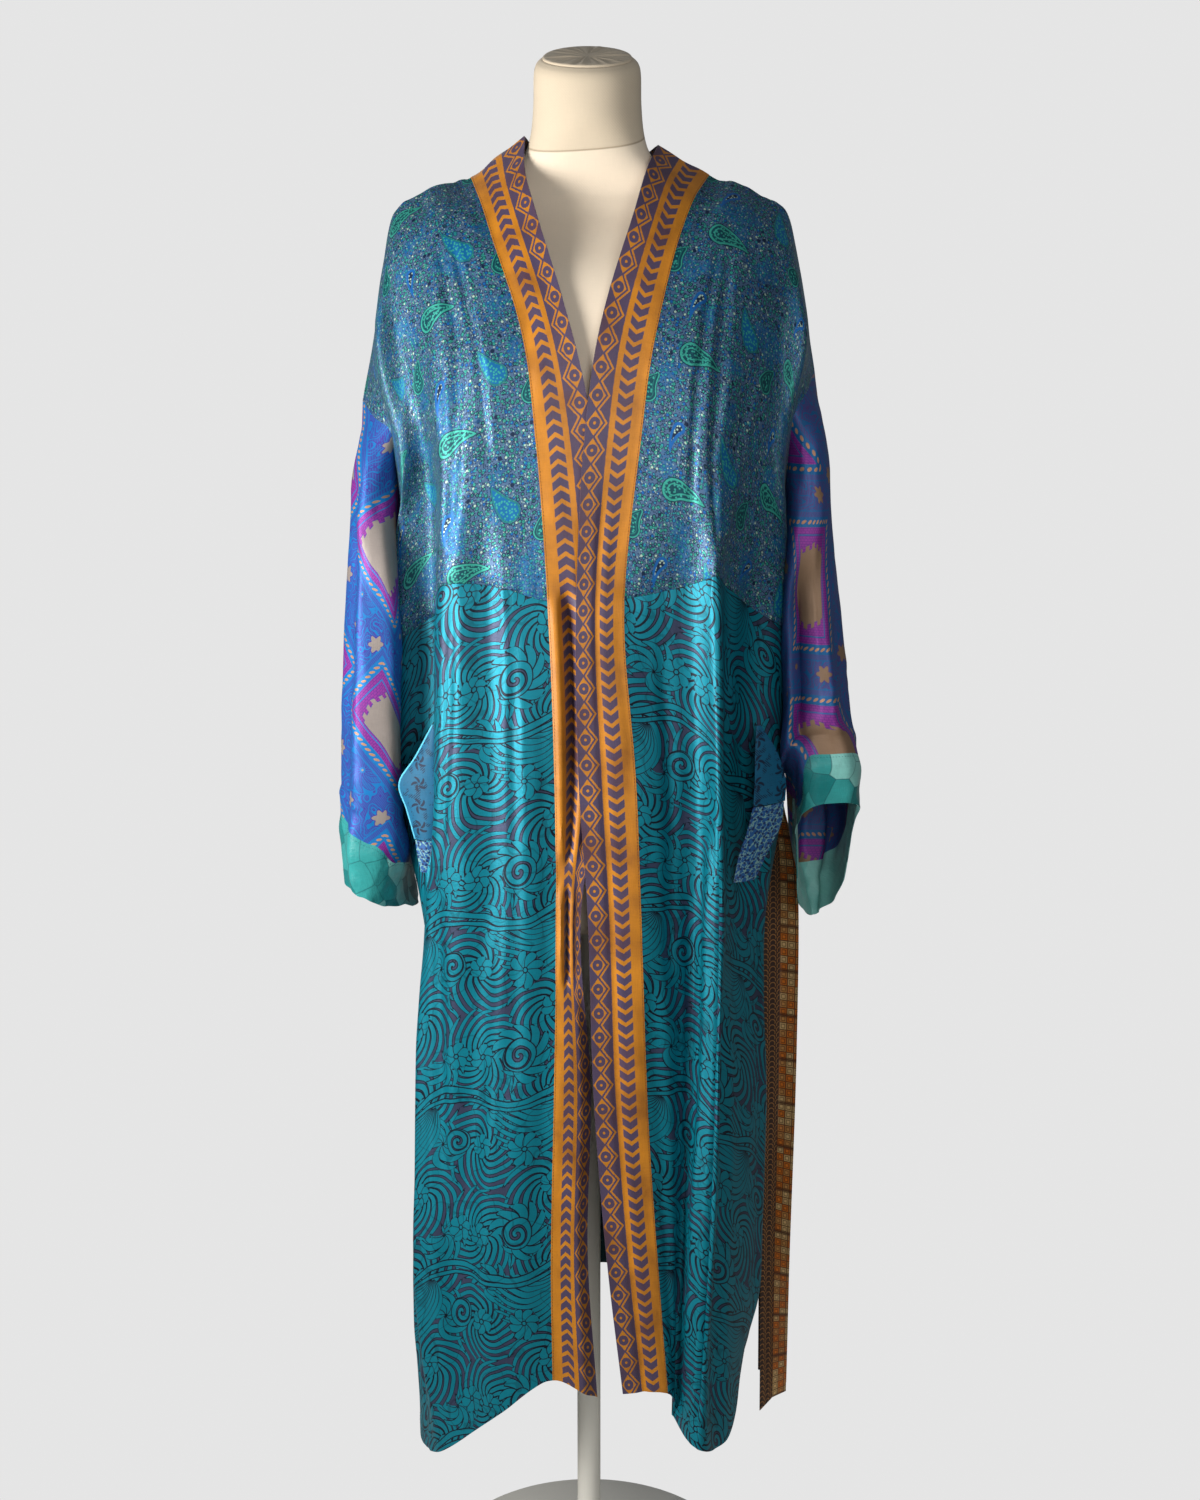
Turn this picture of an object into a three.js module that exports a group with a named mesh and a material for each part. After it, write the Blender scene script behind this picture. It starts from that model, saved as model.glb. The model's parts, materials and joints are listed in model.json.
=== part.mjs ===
import * as THREE from 'three';

// Silk kimono robe on a limbless dress form. Millimetres, +Z up, the front faces -Y.
// The origin is the centre of the underside of the stand's round base.

// Walls and clearances
const silkWall = 2.0;
const trimWall = 2.4;
const pocketWall = 1.4;
const beltWall = 1.4;
const seamHalfGap = 0.15;
const foldedSeamGap = 0.5;

// Steps between neighbouring stations and sections of the cloth
const columnSteps = { trim: 2, edge: 3, mid: 3, ridge: 3, hollow: 2, corner: 2 };
const neckSteps = 3;

// Positions of the stations across a half front, from the trim's free edge to the side seam
const stationAt = { trim: 0, edge: 0.14, mid: 0.3, ridge: 0.5, hollow: 0.66, corner: 0.83, side: 1 };
const stations = Object.keys(stationAt);

// Sections of each half front. down is the length of cloth below the shoulder line and
// rows the grid rows up to the next section. Each station is [outward, depth, height].
const leftSections = [
  { down: 0, rows: 1, trim: [60, -3, 1521], edge: [112, 0, 1483], mid: [137, 0, 1477],
    ridge: [164, 0, 1465], hollow: [187, 0, 1448], corner: [200, 0, 1382], side: [220, 0, 1272] },
  { down: 36, rows: 2, trim: [59, -37, 1489], edge: [101, -38, 1459], mid: [131, -38, 1452],
    ridge: [159, -35, 1439], hollow: [184, -27, 1419], corner: [202, -29, 1358], side: [206, -36, 1258] },
  { down: 75, rows: 2, trim: [48, -68, 1450], edge: [90, -69, 1428], mid: [125, -66, 1418],
    ridge: [156, -58, 1404], hollow: [182, -42, 1382], corner: [199, -58, 1326], side: [190, -51, 1247] },
  { down: 140, rows: 4, trim: [24, -105, 1375], edge: [66, -106, 1360], mid: [106, -105, 1345],
    ridge: [144, -90, 1327], hollow: [170, -67, 1300], corner: [181, -69, 1236], side: [186, -34, 1208] },
  { down: 280, rows: 3, trim: [-6, -128, 1244], edge: [47, -131, 1236], mid: [92, -130, 1226],
    ridge: [136, -114, 1208], hollow: [146, -85, 1190], corner: [180, -55, 1140], side: [185, 0, 1098] },
  { down: 400, rows: 3, trim: [-20, -134, 1092], edge: [37, -138, 1093], mid: [82, -135, 1105],
    ridge: [138, -116, 1104], hollow: [139, -82, 1072], corner: [182, -50, 1040], side: [193, 0, 1034] },
  { down: 560, rows: 3, trim: [-14, -138, 922], edge: [31, -141, 925], mid: [84, -140, 925],
    ridge: [144, -117, 905], hollow: [141, -83, 889], corner: [182, -50, 877], side: [192, 0, 870] },
  { down: 690, rows: 3, trim: [6, -140, 796], edge: [30, -142, 796], mid: [88, -140, 786],
    ridge: [156, -106, 765], hollow: [153, -77, 752], corner: [164, -42, 745], side: [164, 0, 740] },
  { down: 880, rows: 3, trim: [-3, -141, 610], edge: [33, -142, 606], mid: [95, -138, 588],
    ridge: [164, -98, 560], hollow: [170, -68, 545], corner: [173, -36, 530], side: [172, 0, 520] },
  { down: 1070, rows: 3, trim: [0, -141, 426], edge: [37, -142, 424], mid: [98, -138, 402],
    ridge: [170, -96, 368], hollow: [177, -64, 350], corner: [180, -34, 335], side: [179, 0, 325] },
  { down: 1215, rows: 0, trim: [-9, -142, 278], edge: [36, -141, 301], mid: [88, -136, 262],
    ridge: [152, -98, 198], hollow: [172, -66, 186], corner: [181, -36, 188], side: [180, 0, 194] },
];
const rightSections = [
  { down: 0, rows: 1, trim: [67, -3, 1512], edge: [116, 0, 1484], mid: [140, 0, 1478],
    ridge: [167, 0, 1466], hollow: [192, 0, 1450], corner: [206, 0, 1394], side: [221, 0, 1302] },
  { down: 36, rows: 2, trim: [56, -37, 1489], edge: [101, -39, 1462], mid: [132, -38, 1453],
    ridge: [162, -36, 1440], hollow: [190, -27, 1419], corner: [208, -29, 1362], side: [211, -36, 1282] },
  { down: 75, rows: 2, trim: [44, -69, 1450], edge: [87, -71, 1428], mid: [124, -67, 1420],
    ridge: [158, -58, 1405], hollow: [189, -42, 1382], corner: [206, -58, 1334], side: [199, -51, 1264] },
  { down: 140, rows: 4, trim: [19, -106, 1372], edge: [68, -107, 1358], mid: [108, -106, 1346],
    ridge: [148, -91, 1328], hollow: [177, -68, 1304], corner: [189, -69, 1244], side: [194, -34, 1216] },
  { down: 280, rows: 3, trim: [-3, -139, 1236], edge: [49, -131, 1236], mid: [92, -132, 1228],
    ridge: [126, -124, 1216], hollow: [156, -88, 1192], corner: [187, -55, 1146], side: [192, 0, 1100] },
  { down: 400, rows: 3, trim: [-10, -148, 1092], edge: [35, -139, 1095], mid: [74, -135, 1108],
    ridge: [118, -132, 1120], hollow: [138, -98, 1098], corner: [191, -50, 1056], side: [199, 0, 1046] },
  { down: 560, rows: 3, trim: [-8, -151, 922], edge: [46, -142, 922], mid: [80, -136, 917],
    ridge: [116, -142, 905], hollow: [132, -104, 893], corner: [182, -60, 880], side: [198, 0, 872] },
  { down: 690, rows: 3, trim: [0, -152, 797], edge: [51, -143, 797], mid: [84, -134, 790],
    ridge: [118, -145, 782], hollow: [137, -108, 770], corner: [171, -60, 752], side: [182, 0, 744] },
  { down: 880, rows: 3, trim: [6, -152, 606], edge: [58, -143, 604], mid: [84, -134, 596],
    ridge: [114, -150, 582], hollow: [144, -112, 566], corner: [176, -58, 544], side: [184, 0, 532] },
  { down: 1070, rows: 3, trim: [20, -152, 424], edge: [70, -143, 424], mid: [86, -141, 420],
    ridge: [108, -157, 404], hollow: [142, -118, 386], corner: [172, -60, 366], side: [180, 0, 360] },
  { down: 1215, rows: 0, trim: [35, -152, 292], edge: [80, -143, 288], mid: [74, -156, 258],
    ridge: [98, -164, 236], hollow: [142, -122, 224], corner: [160, -62, 276], side: [176, 0, 300] },
];

// The back of each section: its depth against the front's, and its middle
const backSections = [
  { ratio: 1.0, centreDepth: 88, centreHeight: 1452, neckOut: 72, neckDepth: 64, neckHeight: 1464 },
  { ratio: 1.3, centreDepth: 96, centreHeight: 1424, neckOut: 66, neckDepth: 80, neckHeight: 1434 },
  { ratio: 1.0, centreDepth: 102, centreHeight: 1396, neckOut: 58, neckDepth: 95, neckHeight: 1403 },
  { ratio: 1.0, centreDepth: 108, centreHeight: 1340, neckOut: 42, neckDepth: 110, neckHeight: 1344 },
  { ratio: 0.86, centreDepth: 108, centreHeight: 1214, neckOut: 26, neckDepth: 111, neckHeight: 1216 },
  { ratio: 0.76, centreDepth: 98, centreHeight: 1086, neckOut: 20, neckDepth: 104, neckHeight: 1086 },
  { ratio: 0.82, centreDepth: 108, centreHeight: 920, neckOut: 20, neckDepth: 117, neckHeight: 920 },
  { ratio: 0.86, centreDepth: 112, centreHeight: 796, neckOut: 20, neckDepth: 122, neckHeight: 794 },
  { ratio: 0.88, centreDepth: 112, centreHeight: 612, neckOut: 20, neckDepth: 124, neckHeight: 609 },
  { ratio: 0.88, centreDepth: 111, centreHeight: 440, neckOut: 22, neckDepth: 124, neckHeight: 435 },
  { ratio: 0.88, centreDepth: 110, centreHeight: 308, neckOut: 24, neckDepth: 124, neckHeight: 302 },
];
const waistSection = 5;
const underarmSection = 4;

// Soft folds standing out of (+) or sunk in (-) the fronts: centre across at their head and
// foot, half width, height of the fold, and the lengths of cloth they start and end at
const leftFolds = [
  { head: 0.36, foot: 0.31, half: 0.07, height: -6, from: 300, until: 760 },
  { head: 0.22, foot: 0.22, half: 0.06, height: 4, from: 420, until: 1215 },
  { head: 0.33, foot: 0.4, half: 0.07, height: -9, from: 640, until: 1260 },
  { head: 0.36, foot: 0.46, half: 0.05, height: -3, from: 50, until: 380 },
];
const rightFolds = [
  { head: 0.34, foot: 0.5, half: 0.05, height: -3, from: 50, until: 400 },
  { head: 0.74, foot: 0.76, half: 0.07, height: -9, from: 320, until: 700 },
  { head: 0.58, foot: 0.6, half: 0.07, height: -6, from: 760, until: 1260 },
];
const backFolds = [
  { head: 0.2, foot: 0.17, half: 0.05, height: -10, from: 420, until: 1260 },
  { head: 0.33, foot: 0.34, half: 0.05, height: -7, from: 330, until: 1000 },
  { head: 0.47, foot: 0.45, half: 0.06, height: -11, from: 460, until: 1260 },
  { head: 0.63, foot: 0.65, half: 0.05, height: -8, from: 380, until: 1260 },
  { head: 0.79, foot: 0.82, half: 0.05, height: -9, from: 500, until: 1260 },
];

// Rings of the hanging sleeves below the armhole. outer and inner are the distances outward of
// the outer and the inner wall, at the front and at the back of the sleeve, and depth is where its
// front and back lie. lean is how much higher the front hangs than the middle.
const leftRings = [
  { at: 0.09, outer: [222, 222], inner: [186, 202], depth: [-64, 62], outerZ: 1233, innerZ: 1092, lean: 0 },
  { at: 0.28, outer: [235, 235], inner: [182, 219], depth: [-72, 84], outerZ: 1130, innerZ: 1020, lean: 0 },
  { at: 0.52, outer: [243, 243], inner: [183, 228], depth: [-75, 92], outerZ: 1000, innerZ: 930, lean: 0 },
  { at: 0.76, outer: [248, 248], inner: [183, 222], depth: [-74, 94], outerZ: 900, innerZ: 860, lean: 4 },
  { at: 0.92, outer: [249, 249], inner: [189, 186], depth: [-70, 92], outerZ: 856, innerZ: 800, lean: 14 },
  { at: 1.0, outer: [246, 246], inner: [208, 172], depth: [-64, 88], outerZ: 784, innerZ: 756, lean: 14 },
];
const rightRings = [
  { at: 0.09, outer: [227, 227], inner: [195, 207], depth: [-64, 69], outerZ: 1258, innerZ: 1094, lean: 0 },
  { at: 0.28, outer: [241, 241], inner: [192, 220], depth: [-72, 80], outerZ: 1140, innerZ: 1020, lean: 0 },
  { at: 0.52, outer: [253, 253], inner: [189, 227], depth: [-76, 82], outerZ: 1024, innerZ: 949, lean: 18 },
  { at: 0.76, outer: [261, 261], inner: [187, 227], depth: [-79, 78], outerZ: 942, innerZ: 884, lean: 46 },
  { at: 0.92, outer: [270, 262], inner: [200, 220], depth: [-80, 74], outerZ: 868, innerZ: 852, lean: 74 },
  { at: 1.0, outer: [275, 250], inner: [205, 230], depth: [-80, 68], outerZ: 812, innerZ: 801, lean: 78 },
];
const sleeveRowsAt = [0, 0.05, 0.1, 0.18, 0.28, 0.4, 0.52, 0.64, 0.75, 0.85, 0.92, 0.96, 1.0];
const cuffFirstRow = 10;
const ringSquareness = 0.62;

// Folds of the sleeves: turn is the share of the way round from the outer line by the front
const leftSleeveFolds = [
  { turn: 0.13, half: 0.07, height: -7, from: 0.05, until: 1.05 },
  { turn: 0.86, half: 0.07, height: -8, from: 0.12, until: 1.1 },
  { turn: 0.66, half: 0.06, height: 5, from: 0.3, until: 1.1 },
];
const rightSleeveFolds = [
  { turn: 0.28, half: 0.055, height: -12, from: 0.12, until: 0.98 },
  { turn: 0.13, half: 0.06, height: -4, from: 0.3, until: 0.95 },
  { turn: 0.85, half: 0.07, height: -8, from: 0.12, until: 1.1 },
  { turn: 0.68, half: 0.06, height: 5, from: 0.3, until: 1.0 },
];

// Pocket bags hanging out of the side seams. Each row: height, then the outward and depth
// of the edge by the skirt's fold and of the free edge.
const pockets = {
  pocket_left_upper: { side: -1, rows: [
    { height: 968, seam: [147, -103], free: [149, -102] },
    { height: 934, seam: [147, -101], free: [167, -90] },
    { height: 906, seam: [148, -99], free: [184, -82] },
    { height: 880, seam: [150, -97], free: [177, -84] },
    { height: 851, seam: [152, -95], free: [169, -87] },
  ] },
  pocket_left_lower: { side: -1, rows: [
    { height: 850, seam: [152, -95], free: [169, -87] },
    { height: 834, seam: [155, -93], free: [167, -88] },
    { height: 818, seam: [158, -91], free: [164, -88] },
  ] },
  pocket_right_upper: { side: 1, rows: [
    { height: 966, seam: [163, -96], free: [167, -94] },
    { height: 938, seam: [162, -97], free: [184, -80] },
    { height: 908, seam: [162, -97], free: [194, -72] },
    { height: 886, seam: [161, -97], free: [194, -72] },
  ] },
  pocket_right_lower: { side: 1, rows: [
    { height: 885, seam: [161, -97], free: [193, -72] },
    { height: 862, seam: [155, -101], free: [190, -74] },
    { height: 838, seam: [147, -106], free: [177, -85] },
    { height: 813, seam: [142, -110], free: [164, -96] },
  ] },
};

// The belt hangs folded in half over its loop: outward, depth, height, half width and
// how far its lengthwise crease is pushed in
const beltWay = [
  { out: 207, depth: 86, height: 152, half: 14.5, crease: 6, slant: 12 },
  { out: 207, depth: 88, height: 330, half: 16, crease: 7, slant: 0 },
  { out: 208, depth: 91, height: 560, half: 18.5, crease: 6, slant: 0 },
  { out: 206, depth: 93, height: 760, half: 18, crease: 7, slant: 0 },
  { out: 198, depth: 86, height: 850, half: 8, crease: 3, slant: 0 },
  { out: 197, depth: 66, height: 930, half: 4.5, crease: 1.5, slant: 0 },
  { out: 197, depth: 49, height: 1004, half: 4, crease: 1, slant: 0 },
  { out: 197, depth: 52, height: 1013, half: 4, crease: 0.5, slant: 0 },
  { out: 197, depth: 57, height: 1013, half: 4, crease: 0.5, slant: 0 },
  { out: 197, depth: 60, height: 1004, half: 4, crease: 1, slant: 0 },
  { out: 197, depth: 76, height: 930, half: 4.5, crease: 1.5, slant: 0 },
  { out: 198, depth: 97, height: 850, half: 8, crease: 3, slant: 0 },
  { out: 206, depth: 105, height: 760, half: 17, crease: 7, slant: 0 },
  { out: 207, depth: 103, height: 560, half: 17.5, crease: 6, slant: 0 },
  { out: 207, depth: 100, height: 330, half: 17, crease: 7, slant: 0 },
  { out: 207, depth: 98, height: 176, half: 16, crease: 6, slant: -8 },
];
const beltLoop = { seam: 189, stand: 203, depth: 54.5, half: 2, low: 1004, high: 1040, wall: 1.6 };

// Sections of the dress form: half width, depth to the front and to the back
const formSections = [
  { height: 752, half: 112, front: 82, back: 78 },
  { height: 758, half: 134, front: 98, back: 94 },
  { height: 775, half: 146, front: 106, back: 100 },
  { height: 840, half: 153, front: 110, back: 101 },
  { height: 920, half: 154, front: 110, back: 98 },
  { height: 1000, half: 140, front: 103, back: 86 },
  { height: 1085, half: 126, front: 97, back: 76 },
  { height: 1180, half: 158, front: 114, back: 90 },
  { height: 1260, half: 171, front: 120, back: 98 },
  { height: 1330, half: 176, front: 109, back: 100 },
  { height: 1385, half: 179, front: 90, back: 94 },
  { height: 1424, half: 178, front: 56, back: 62 },
  { height: 1444, half: 168, front: 38, back: 46 },
  { height: 1457, half: 148, front: 30, back: 38 },
  { height: 1467, half: 122, front: 26, back: 34 },
  { height: 1477, half: 97, front: 27, back: 36 },
  { height: 1490, half: 74, front: 32, back: 42 },
  { height: 1505, half: 60, front: 37, back: 50 },
  { height: 1524, half: 54, front: 41, back: 57 },
  { height: 1550, half: 51.5, front: 46, back: 61 },
  { height: 1576, half: 51, front: 46, back: 60 },
  { height: 1586, half: 49, front: 44, back: 58 },
  { height: 1591, half: 44, front: 39, back: 53 },
];
const formAround = 28;
const formSquareness = 0.82;
const neckLean = Math.tan(THREE.MathUtils.degToRad(17));
const capRadius = { half: 42.5, front: 37.5, back: 51.5 };
const capHeight = 2.4;
const capGap = 0.3;
const pole = { radius: 12.5, foot: 8.3, head: 751.7 };
const base = { radius: 165, height: 8, rounding: 2 };

// Colours
const materials = {
  bodiceSilk: new THREE.MeshStandardMaterial({ color: 0x6f8fa0, roughness: 0.45 }),
  skirtSilk: new THREE.MeshStandardMaterial({ color: 0x3f7f92, roughness: 0.45 }),
  sleeveSilk: new THREE.MeshStandardMaterial({ color: 0x4b74b4, roughness: 0.45 }),
  cuffSilk: new THREE.MeshStandardMaterial({ color: 0x2b9391, roughness: 0.45 }),
  trimSilk: new THREE.MeshStandardMaterial({ color: 0xa87432, roughness: 0.5 }),
  pocketPlain: new THREE.MeshStandardMaterial({ color: 0x3d8fa8, roughness: 0.5 }),
  pocketDitsy: new THREE.MeshStandardMaterial({ color: 0x35609a, roughness: 0.5 }),
  beltSilk: new THREE.MeshStandardMaterial({ color: 0x9a6438, roughness: 0.5 }),
  jersey: new THREE.MeshStandardMaterial({ color: 0xd7c8b2, roughness: 0.9 }),
  capJersey: new THREE.MeshStandardMaterial({ color: 0xd2c3ad, roughness: 0.9 }),
  standPaint: new THREE.MeshStandardMaterial({ color: 0xe6e2da, roughness: 0.5 }),
};

// Weights that blend values at the knots into smooth values at the samples
function smoothWeights(knots, samples) {
  const last = knots.length - 1;
  const gap = (i) => knots[i + 1] - knots[i];
  const tangent = (i) => {
    const w = new Array(knots.length).fill(0);
    if (i === 0 || i === last) {
      const a = i === 0 ? 0 : last - 1;
      w[a] -= 1 / gap(a);
      w[a + 1] += 1 / gap(a);
      return w;
    }
    const before = gap(i) / (gap(i - 1) * (gap(i - 1) + gap(i)));
    const after = gap(i - 1) / (gap(i) * (gap(i - 1) + gap(i)));
    w[i - 1] -= before;
    w[i] += before - after;
    w[i + 1] += after;
    return w;
  };
  return samples.map((sample) => {
    let i = 0;
    while (i < last - 1 && sample > knots[i + 1]) i += 1;
    const h = gap(i);
    const x = (sample - knots[i]) / h;
    const startTangent = tangent(i);
    const endTangent = tangent(i + 1);
    return knots.map((_, k) => {
      const point = (k === i ? 2 * x ** 3 - 3 * x * x + 1 : 0) + (k === i + 1 ? 3 * x * x - 2 * x ** 3 : 0);
      return point + h * ((x ** 3 - 2 * x * x + x) * startTangent[k] + (x ** 3 - x * x) * endTangent[k]);
    });
  });
}

const weightedPoint = (weights, points) => {
  const sum = new THREE.Vector3();
  weights.forEach((w, k) => sum.addScaledVector(points[k], w));
  return sum;
};

// A smooth grid through a net of points: rows are blended first across, then down
function smoothGrid(net, acrossWeights, downWeights) {
  const wide = net.map((row) => acrossWeights.map((w) => weightedPoint(w, row)));
  return downWeights.map((w) => acrossWeights.map((_, c) => weightedPoint(w, wide.map((row) => row[c]))));
}

// Unit directions square to a grid, turned the way that sign says
function gridNormals(grid, sign, closed = false) {
  const lastRow = grid.length - 1;
  const count = grid[0].length;
  return grid.map((row, r) => row.map((_, c) => {
    const left = closed ? row[(c + count - 1) % count] : row[Math.max(c - 1, 0)];
    const right = closed ? row[(c + 1) % count] : row[Math.min(c + 1, count - 1)];
    const across = right.clone().sub(left);
    const down = grid[Math.min(r + 1, lastRow)][c].clone().sub(grid[Math.max(r - 1, 0)][c]);
    return across.cross(down).multiplyScalar(sign).normalize();
  }));
}

const bump = (x) => (Math.abs(x) < 1 ? 0.5 + 0.5 * Math.cos(Math.PI * x) : 0);
const ease = (x) => {
  const t = Math.min(Math.max(x, 0), 1);
  return t * t * (3 - 2 * t);
};

// How far the folds move a point out of the sheet
function foldHeight(folds, across, down) {
  return folds.reduce((sum, fold) => {
    const share = (down - fold.from) / (fold.until - fold.from);
    const centre = fold.head + (fold.foot - fold.head) * Math.min(Math.max(share, 0), 1);
    const strength = ease(share * 5) * ease((1 - share) * 5);
    return sum + fold.height * strength * bump((across - centre) / fold.half);
  }, 0);
}

function raiseFolds(grid, normals, heightAt) {
  grid.forEach((row, r) => row.forEach((point, c) => point.addScaledVector(normals[r][c], heightAt(r, c))));
}

// Two edges that meet at a seam share one direction, halfway between their own
function shareNormals(...edges) {
  edges[0].forEach((_, k) => {
    const sum = new THREE.Vector3();
    edges.forEach((edge) => sum.add(edge[k]));
    sum.normalize();
    edges.forEach((edge) => edge[k].copy(sum));
  });
}

const columnOf = (grid, c) => grid.map((row) => row[c]);

// A closed wall around a grid of points, half the wall to each side along the normals
function wallGeometry(grid, normals, wall, closed = false) {
  const rows = grid.length;
  const columns = grid[0].length;
  const positions = [];
  [0.5, -0.5].forEach((half) => grid.forEach((row, r) => row.forEach((point, c) => {
    const p = point.clone().addScaledVector(normals[r][c], half * wall);
    positions.push(p.x, p.y, p.z);
  })));
  const index = [];
  const outer = (r, c) => r * columns + (c % columns);
  const inner = (r, c) => rows * columns + outer(r, c);
  const quad = (a, b, c, d) => index.push(a, b, c, a, c, d);
  const spans = closed ? columns : columns - 1;
  for (let r = 0; r < rows - 1; r += 1) {
    for (let c = 0; c < spans; c += 1) {
      quad(outer(r, c), outer(r, c + 1), outer(r + 1, c + 1), outer(r + 1, c));
      quad(inner(r, c), inner(r + 1, c), inner(r + 1, c + 1), inner(r, c + 1));
    }
  }
  for (let c = 0; c < spans; c += 1) {
    quad(outer(0, c), inner(0, c), inner(0, c + 1), outer(0, c + 1));
    quad(outer(rows - 1, c), outer(rows - 1, c + 1), inner(rows - 1, c + 1), inner(rows - 1, c));
  }
  if (!closed) {
    for (let r = 0; r < rows - 1; r += 1) {
      quad(outer(r, 0), outer(r + 1, 0), inner(r + 1, 0), inner(r, 0));
      const c = columns - 1;
      quad(outer(r, c), inner(r, c), inner(r + 1, c), outer(r + 1, c));
    }
  }
  return closedGeometry(positions, index);
}

// Faces are turned outward by the sign of the volume they enclose
function closedGeometry(positions, index) {
  const corner = (i) => new THREE.Vector3(positions[3 * i], positions[3 * i + 1], positions[3 * i + 2]);
  let volume = 0;
  for (let i = 0; i < index.length; i += 3) {
    volume += corner(index[i]).dot(corner(index[i + 1]).cross(corner(index[i + 2])));
  }
  if (volume < 0) {
    for (let i = 0; i < index.length; i += 3) {
      [index[i + 1], index[i + 2]] = [index[i + 2], index[i + 1]];
    }
  }
  const geometry = new THREE.BufferGeometry();
  geometry.setAttribute('position', new THREE.Float32BufferAttribute(positions, 3));
  geometry.setIndex(index);
  geometry.computeVertexNormals();
  return geometry;
}

// Part of a grid, its edges at seams drawn back by half the gap
function cutSheet(sheet, rowRange, columnRange, seams) {
  const take = (grid) => grid.slice(rowRange[0], rowRange[1] + 1)
    .map((row) => row.slice(columnRange[0], columnRange[1] + 1).map((v) => v.clone()));
  const grid = take(sheet.grid);
  const normals = take(sheet.normals);
  const pull = (from, to) => {
    const step = to.clone().sub(from);
    from.addScaledVector(step, seamHalfGap / step.length());
  };
  const lastRow = grid.length - 1;
  const lastColumn = grid[0].length - 1;
  if (seams.top) grid[0].forEach((point, c) => pull(point, grid[1][c]));
  if (seams.bottom) grid[lastRow].forEach((point, c) => pull(point, grid[lastRow - 1][c]));
  if (seams.start) grid.forEach((row) => pull(row[0], row[1]));
  if (seams.end) grid.forEach((row) => pull(row[lastColumn], row[lastColumn - 1]));
  return { grid, normals };
}

const group = new THREE.Group();
group.name = 'silk_kimono_on_dress_form';
function addPiece(name, geometry, material) {
  const mesh = new THREE.Mesh(geometry, materials[material]);
  mesh.name = name;
  group.add(mesh);
}
function addSheet(name, sheet, wall, material, closed = false) {
  addPiece(name, wallGeometry(sheet.grid, sheet.normals, wall, closed), material);
}

// Samples across and down the fronts
const acrossSamples = [];
stations.slice(0, -1).forEach((name, i) => {
  const next = stationAt[stations[i + 1]];
  for (let k = 0; k < columnSteps[name]; k += 1) {
    acrossSamples.push(stationAt[name] + (next - stationAt[name]) * (k / columnSteps[name]));
  }
});
acrossSamples.push(1);
const downSamples = [];
const sectionRow = [];
leftSections.forEach((section, i) => {
  sectionRow.push(downSamples.length);
  const next = leftSections[i + 1];
  for (let k = 0; k < section.rows; k += 1) {
    downSamples.push(section.down + (next.down - section.down) * (k / section.rows));
  }
});
downSamples.push(leftSections[leftSections.length - 1].down);
const downWeights = smoothWeights(leftSections.map((section) => section.down), downSamples);
const acrossWeights = smoothWeights(stations.map((name) => stationAt[name]), acrossSamples);
const edgeColumn = columnSteps.trim;
const sideColumn = acrossSamples.length - 1;
const waistRow = sectionRow[waistSection];
const underarmRow = sectionRow[underarmSection];
const hemRow = downSamples.length - 1;

const frontNet = (sections, side) => sections.map((section) => stations.map((name) => {
  const [out, depth, height] = section[name];
  return new THREE.Vector3(side * out, depth, height);
}));

function frontSheet(sections, folds, side) {
  const grid = smoothGrid(frontNet(sections, side), acrossWeights, downWeights);
  raiseFolds(grid, gridNormals(grid, -side), (r, c) => foldHeight(folds, acrossSamples[c], downSamples[r]));
  return { grid, normals: gridNormals(grid, -side) };
}

const leftFront = frontSheet(leftSections, leftFolds, -1);
const rightFront = frontSheet(rightSections, rightFolds, 1);

// The back runs from the left side seam over the middle to the right one. Its stations
// repeat the fronts', set back by the section's ratio.
const bodyStations = ['side', 'corner', 'hollow', 'ridge', 'mid', 'edge'];
const backNet = backSections.map((back, r) => {
  const half = (sections, side) => {
    const points = bodyStations.map((name) => {
      const [out, depth, height] = sections[r][name];
      return new THREE.Vector3(side * out, -depth * back.ratio, height);
    });
    points.push(new THREE.Vector3(side * back.neckOut, back.neckDepth, back.neckHeight));
    return points;
  };
  const middle = new THREE.Vector3(0, back.centreDepth, back.centreHeight);
  return [...half(leftSections, -1), middle, ...half(rightSections, 1).reverse()];
});
const halfWidthOfBack = 1 - stationAt.edge;
const backKnotsHalf = bodyStations.map((name) => (1 - stationAt[name]) / (2 * (halfWidthOfBack + 0.26)));
backKnotsHalf.push(backKnotsHalf[5] + 0.13 / (2 * (halfWidthOfBack + 0.26)), 0.5);
const backKnots = [...backKnotsHalf, ...backKnotsHalf.slice(0, -1).reverse().map((x) => 1 - x)];
const backSamplesHalf = acrossSamples.slice(edgeColumn).reverse()
  .map((x) => (1 - x) / (2 * (halfWidthOfBack + 0.26)));
const edgeAt = backSamplesHalf[backSamplesHalf.length - 1];
for (let k = 1; k <= neckSteps; k += 1) backSamplesHalf.push(edgeAt + (0.5 - edgeAt) * (k / neckSteps));
const backSamples = [...backSamplesHalf, ...backSamplesHalf.slice(0, -1).reverse().map((x) => 1 - x)];
const backLast = backSamples.length - 1;
const backGrid = smoothGrid(backNet, smoothWeights(backKnots, backSamples), downWeights);
raiseFolds(backGrid, gridNormals(backGrid, 1),
  (r, c) => foldHeight(backFolds, backSamples[c], downSamples[r]));

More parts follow.
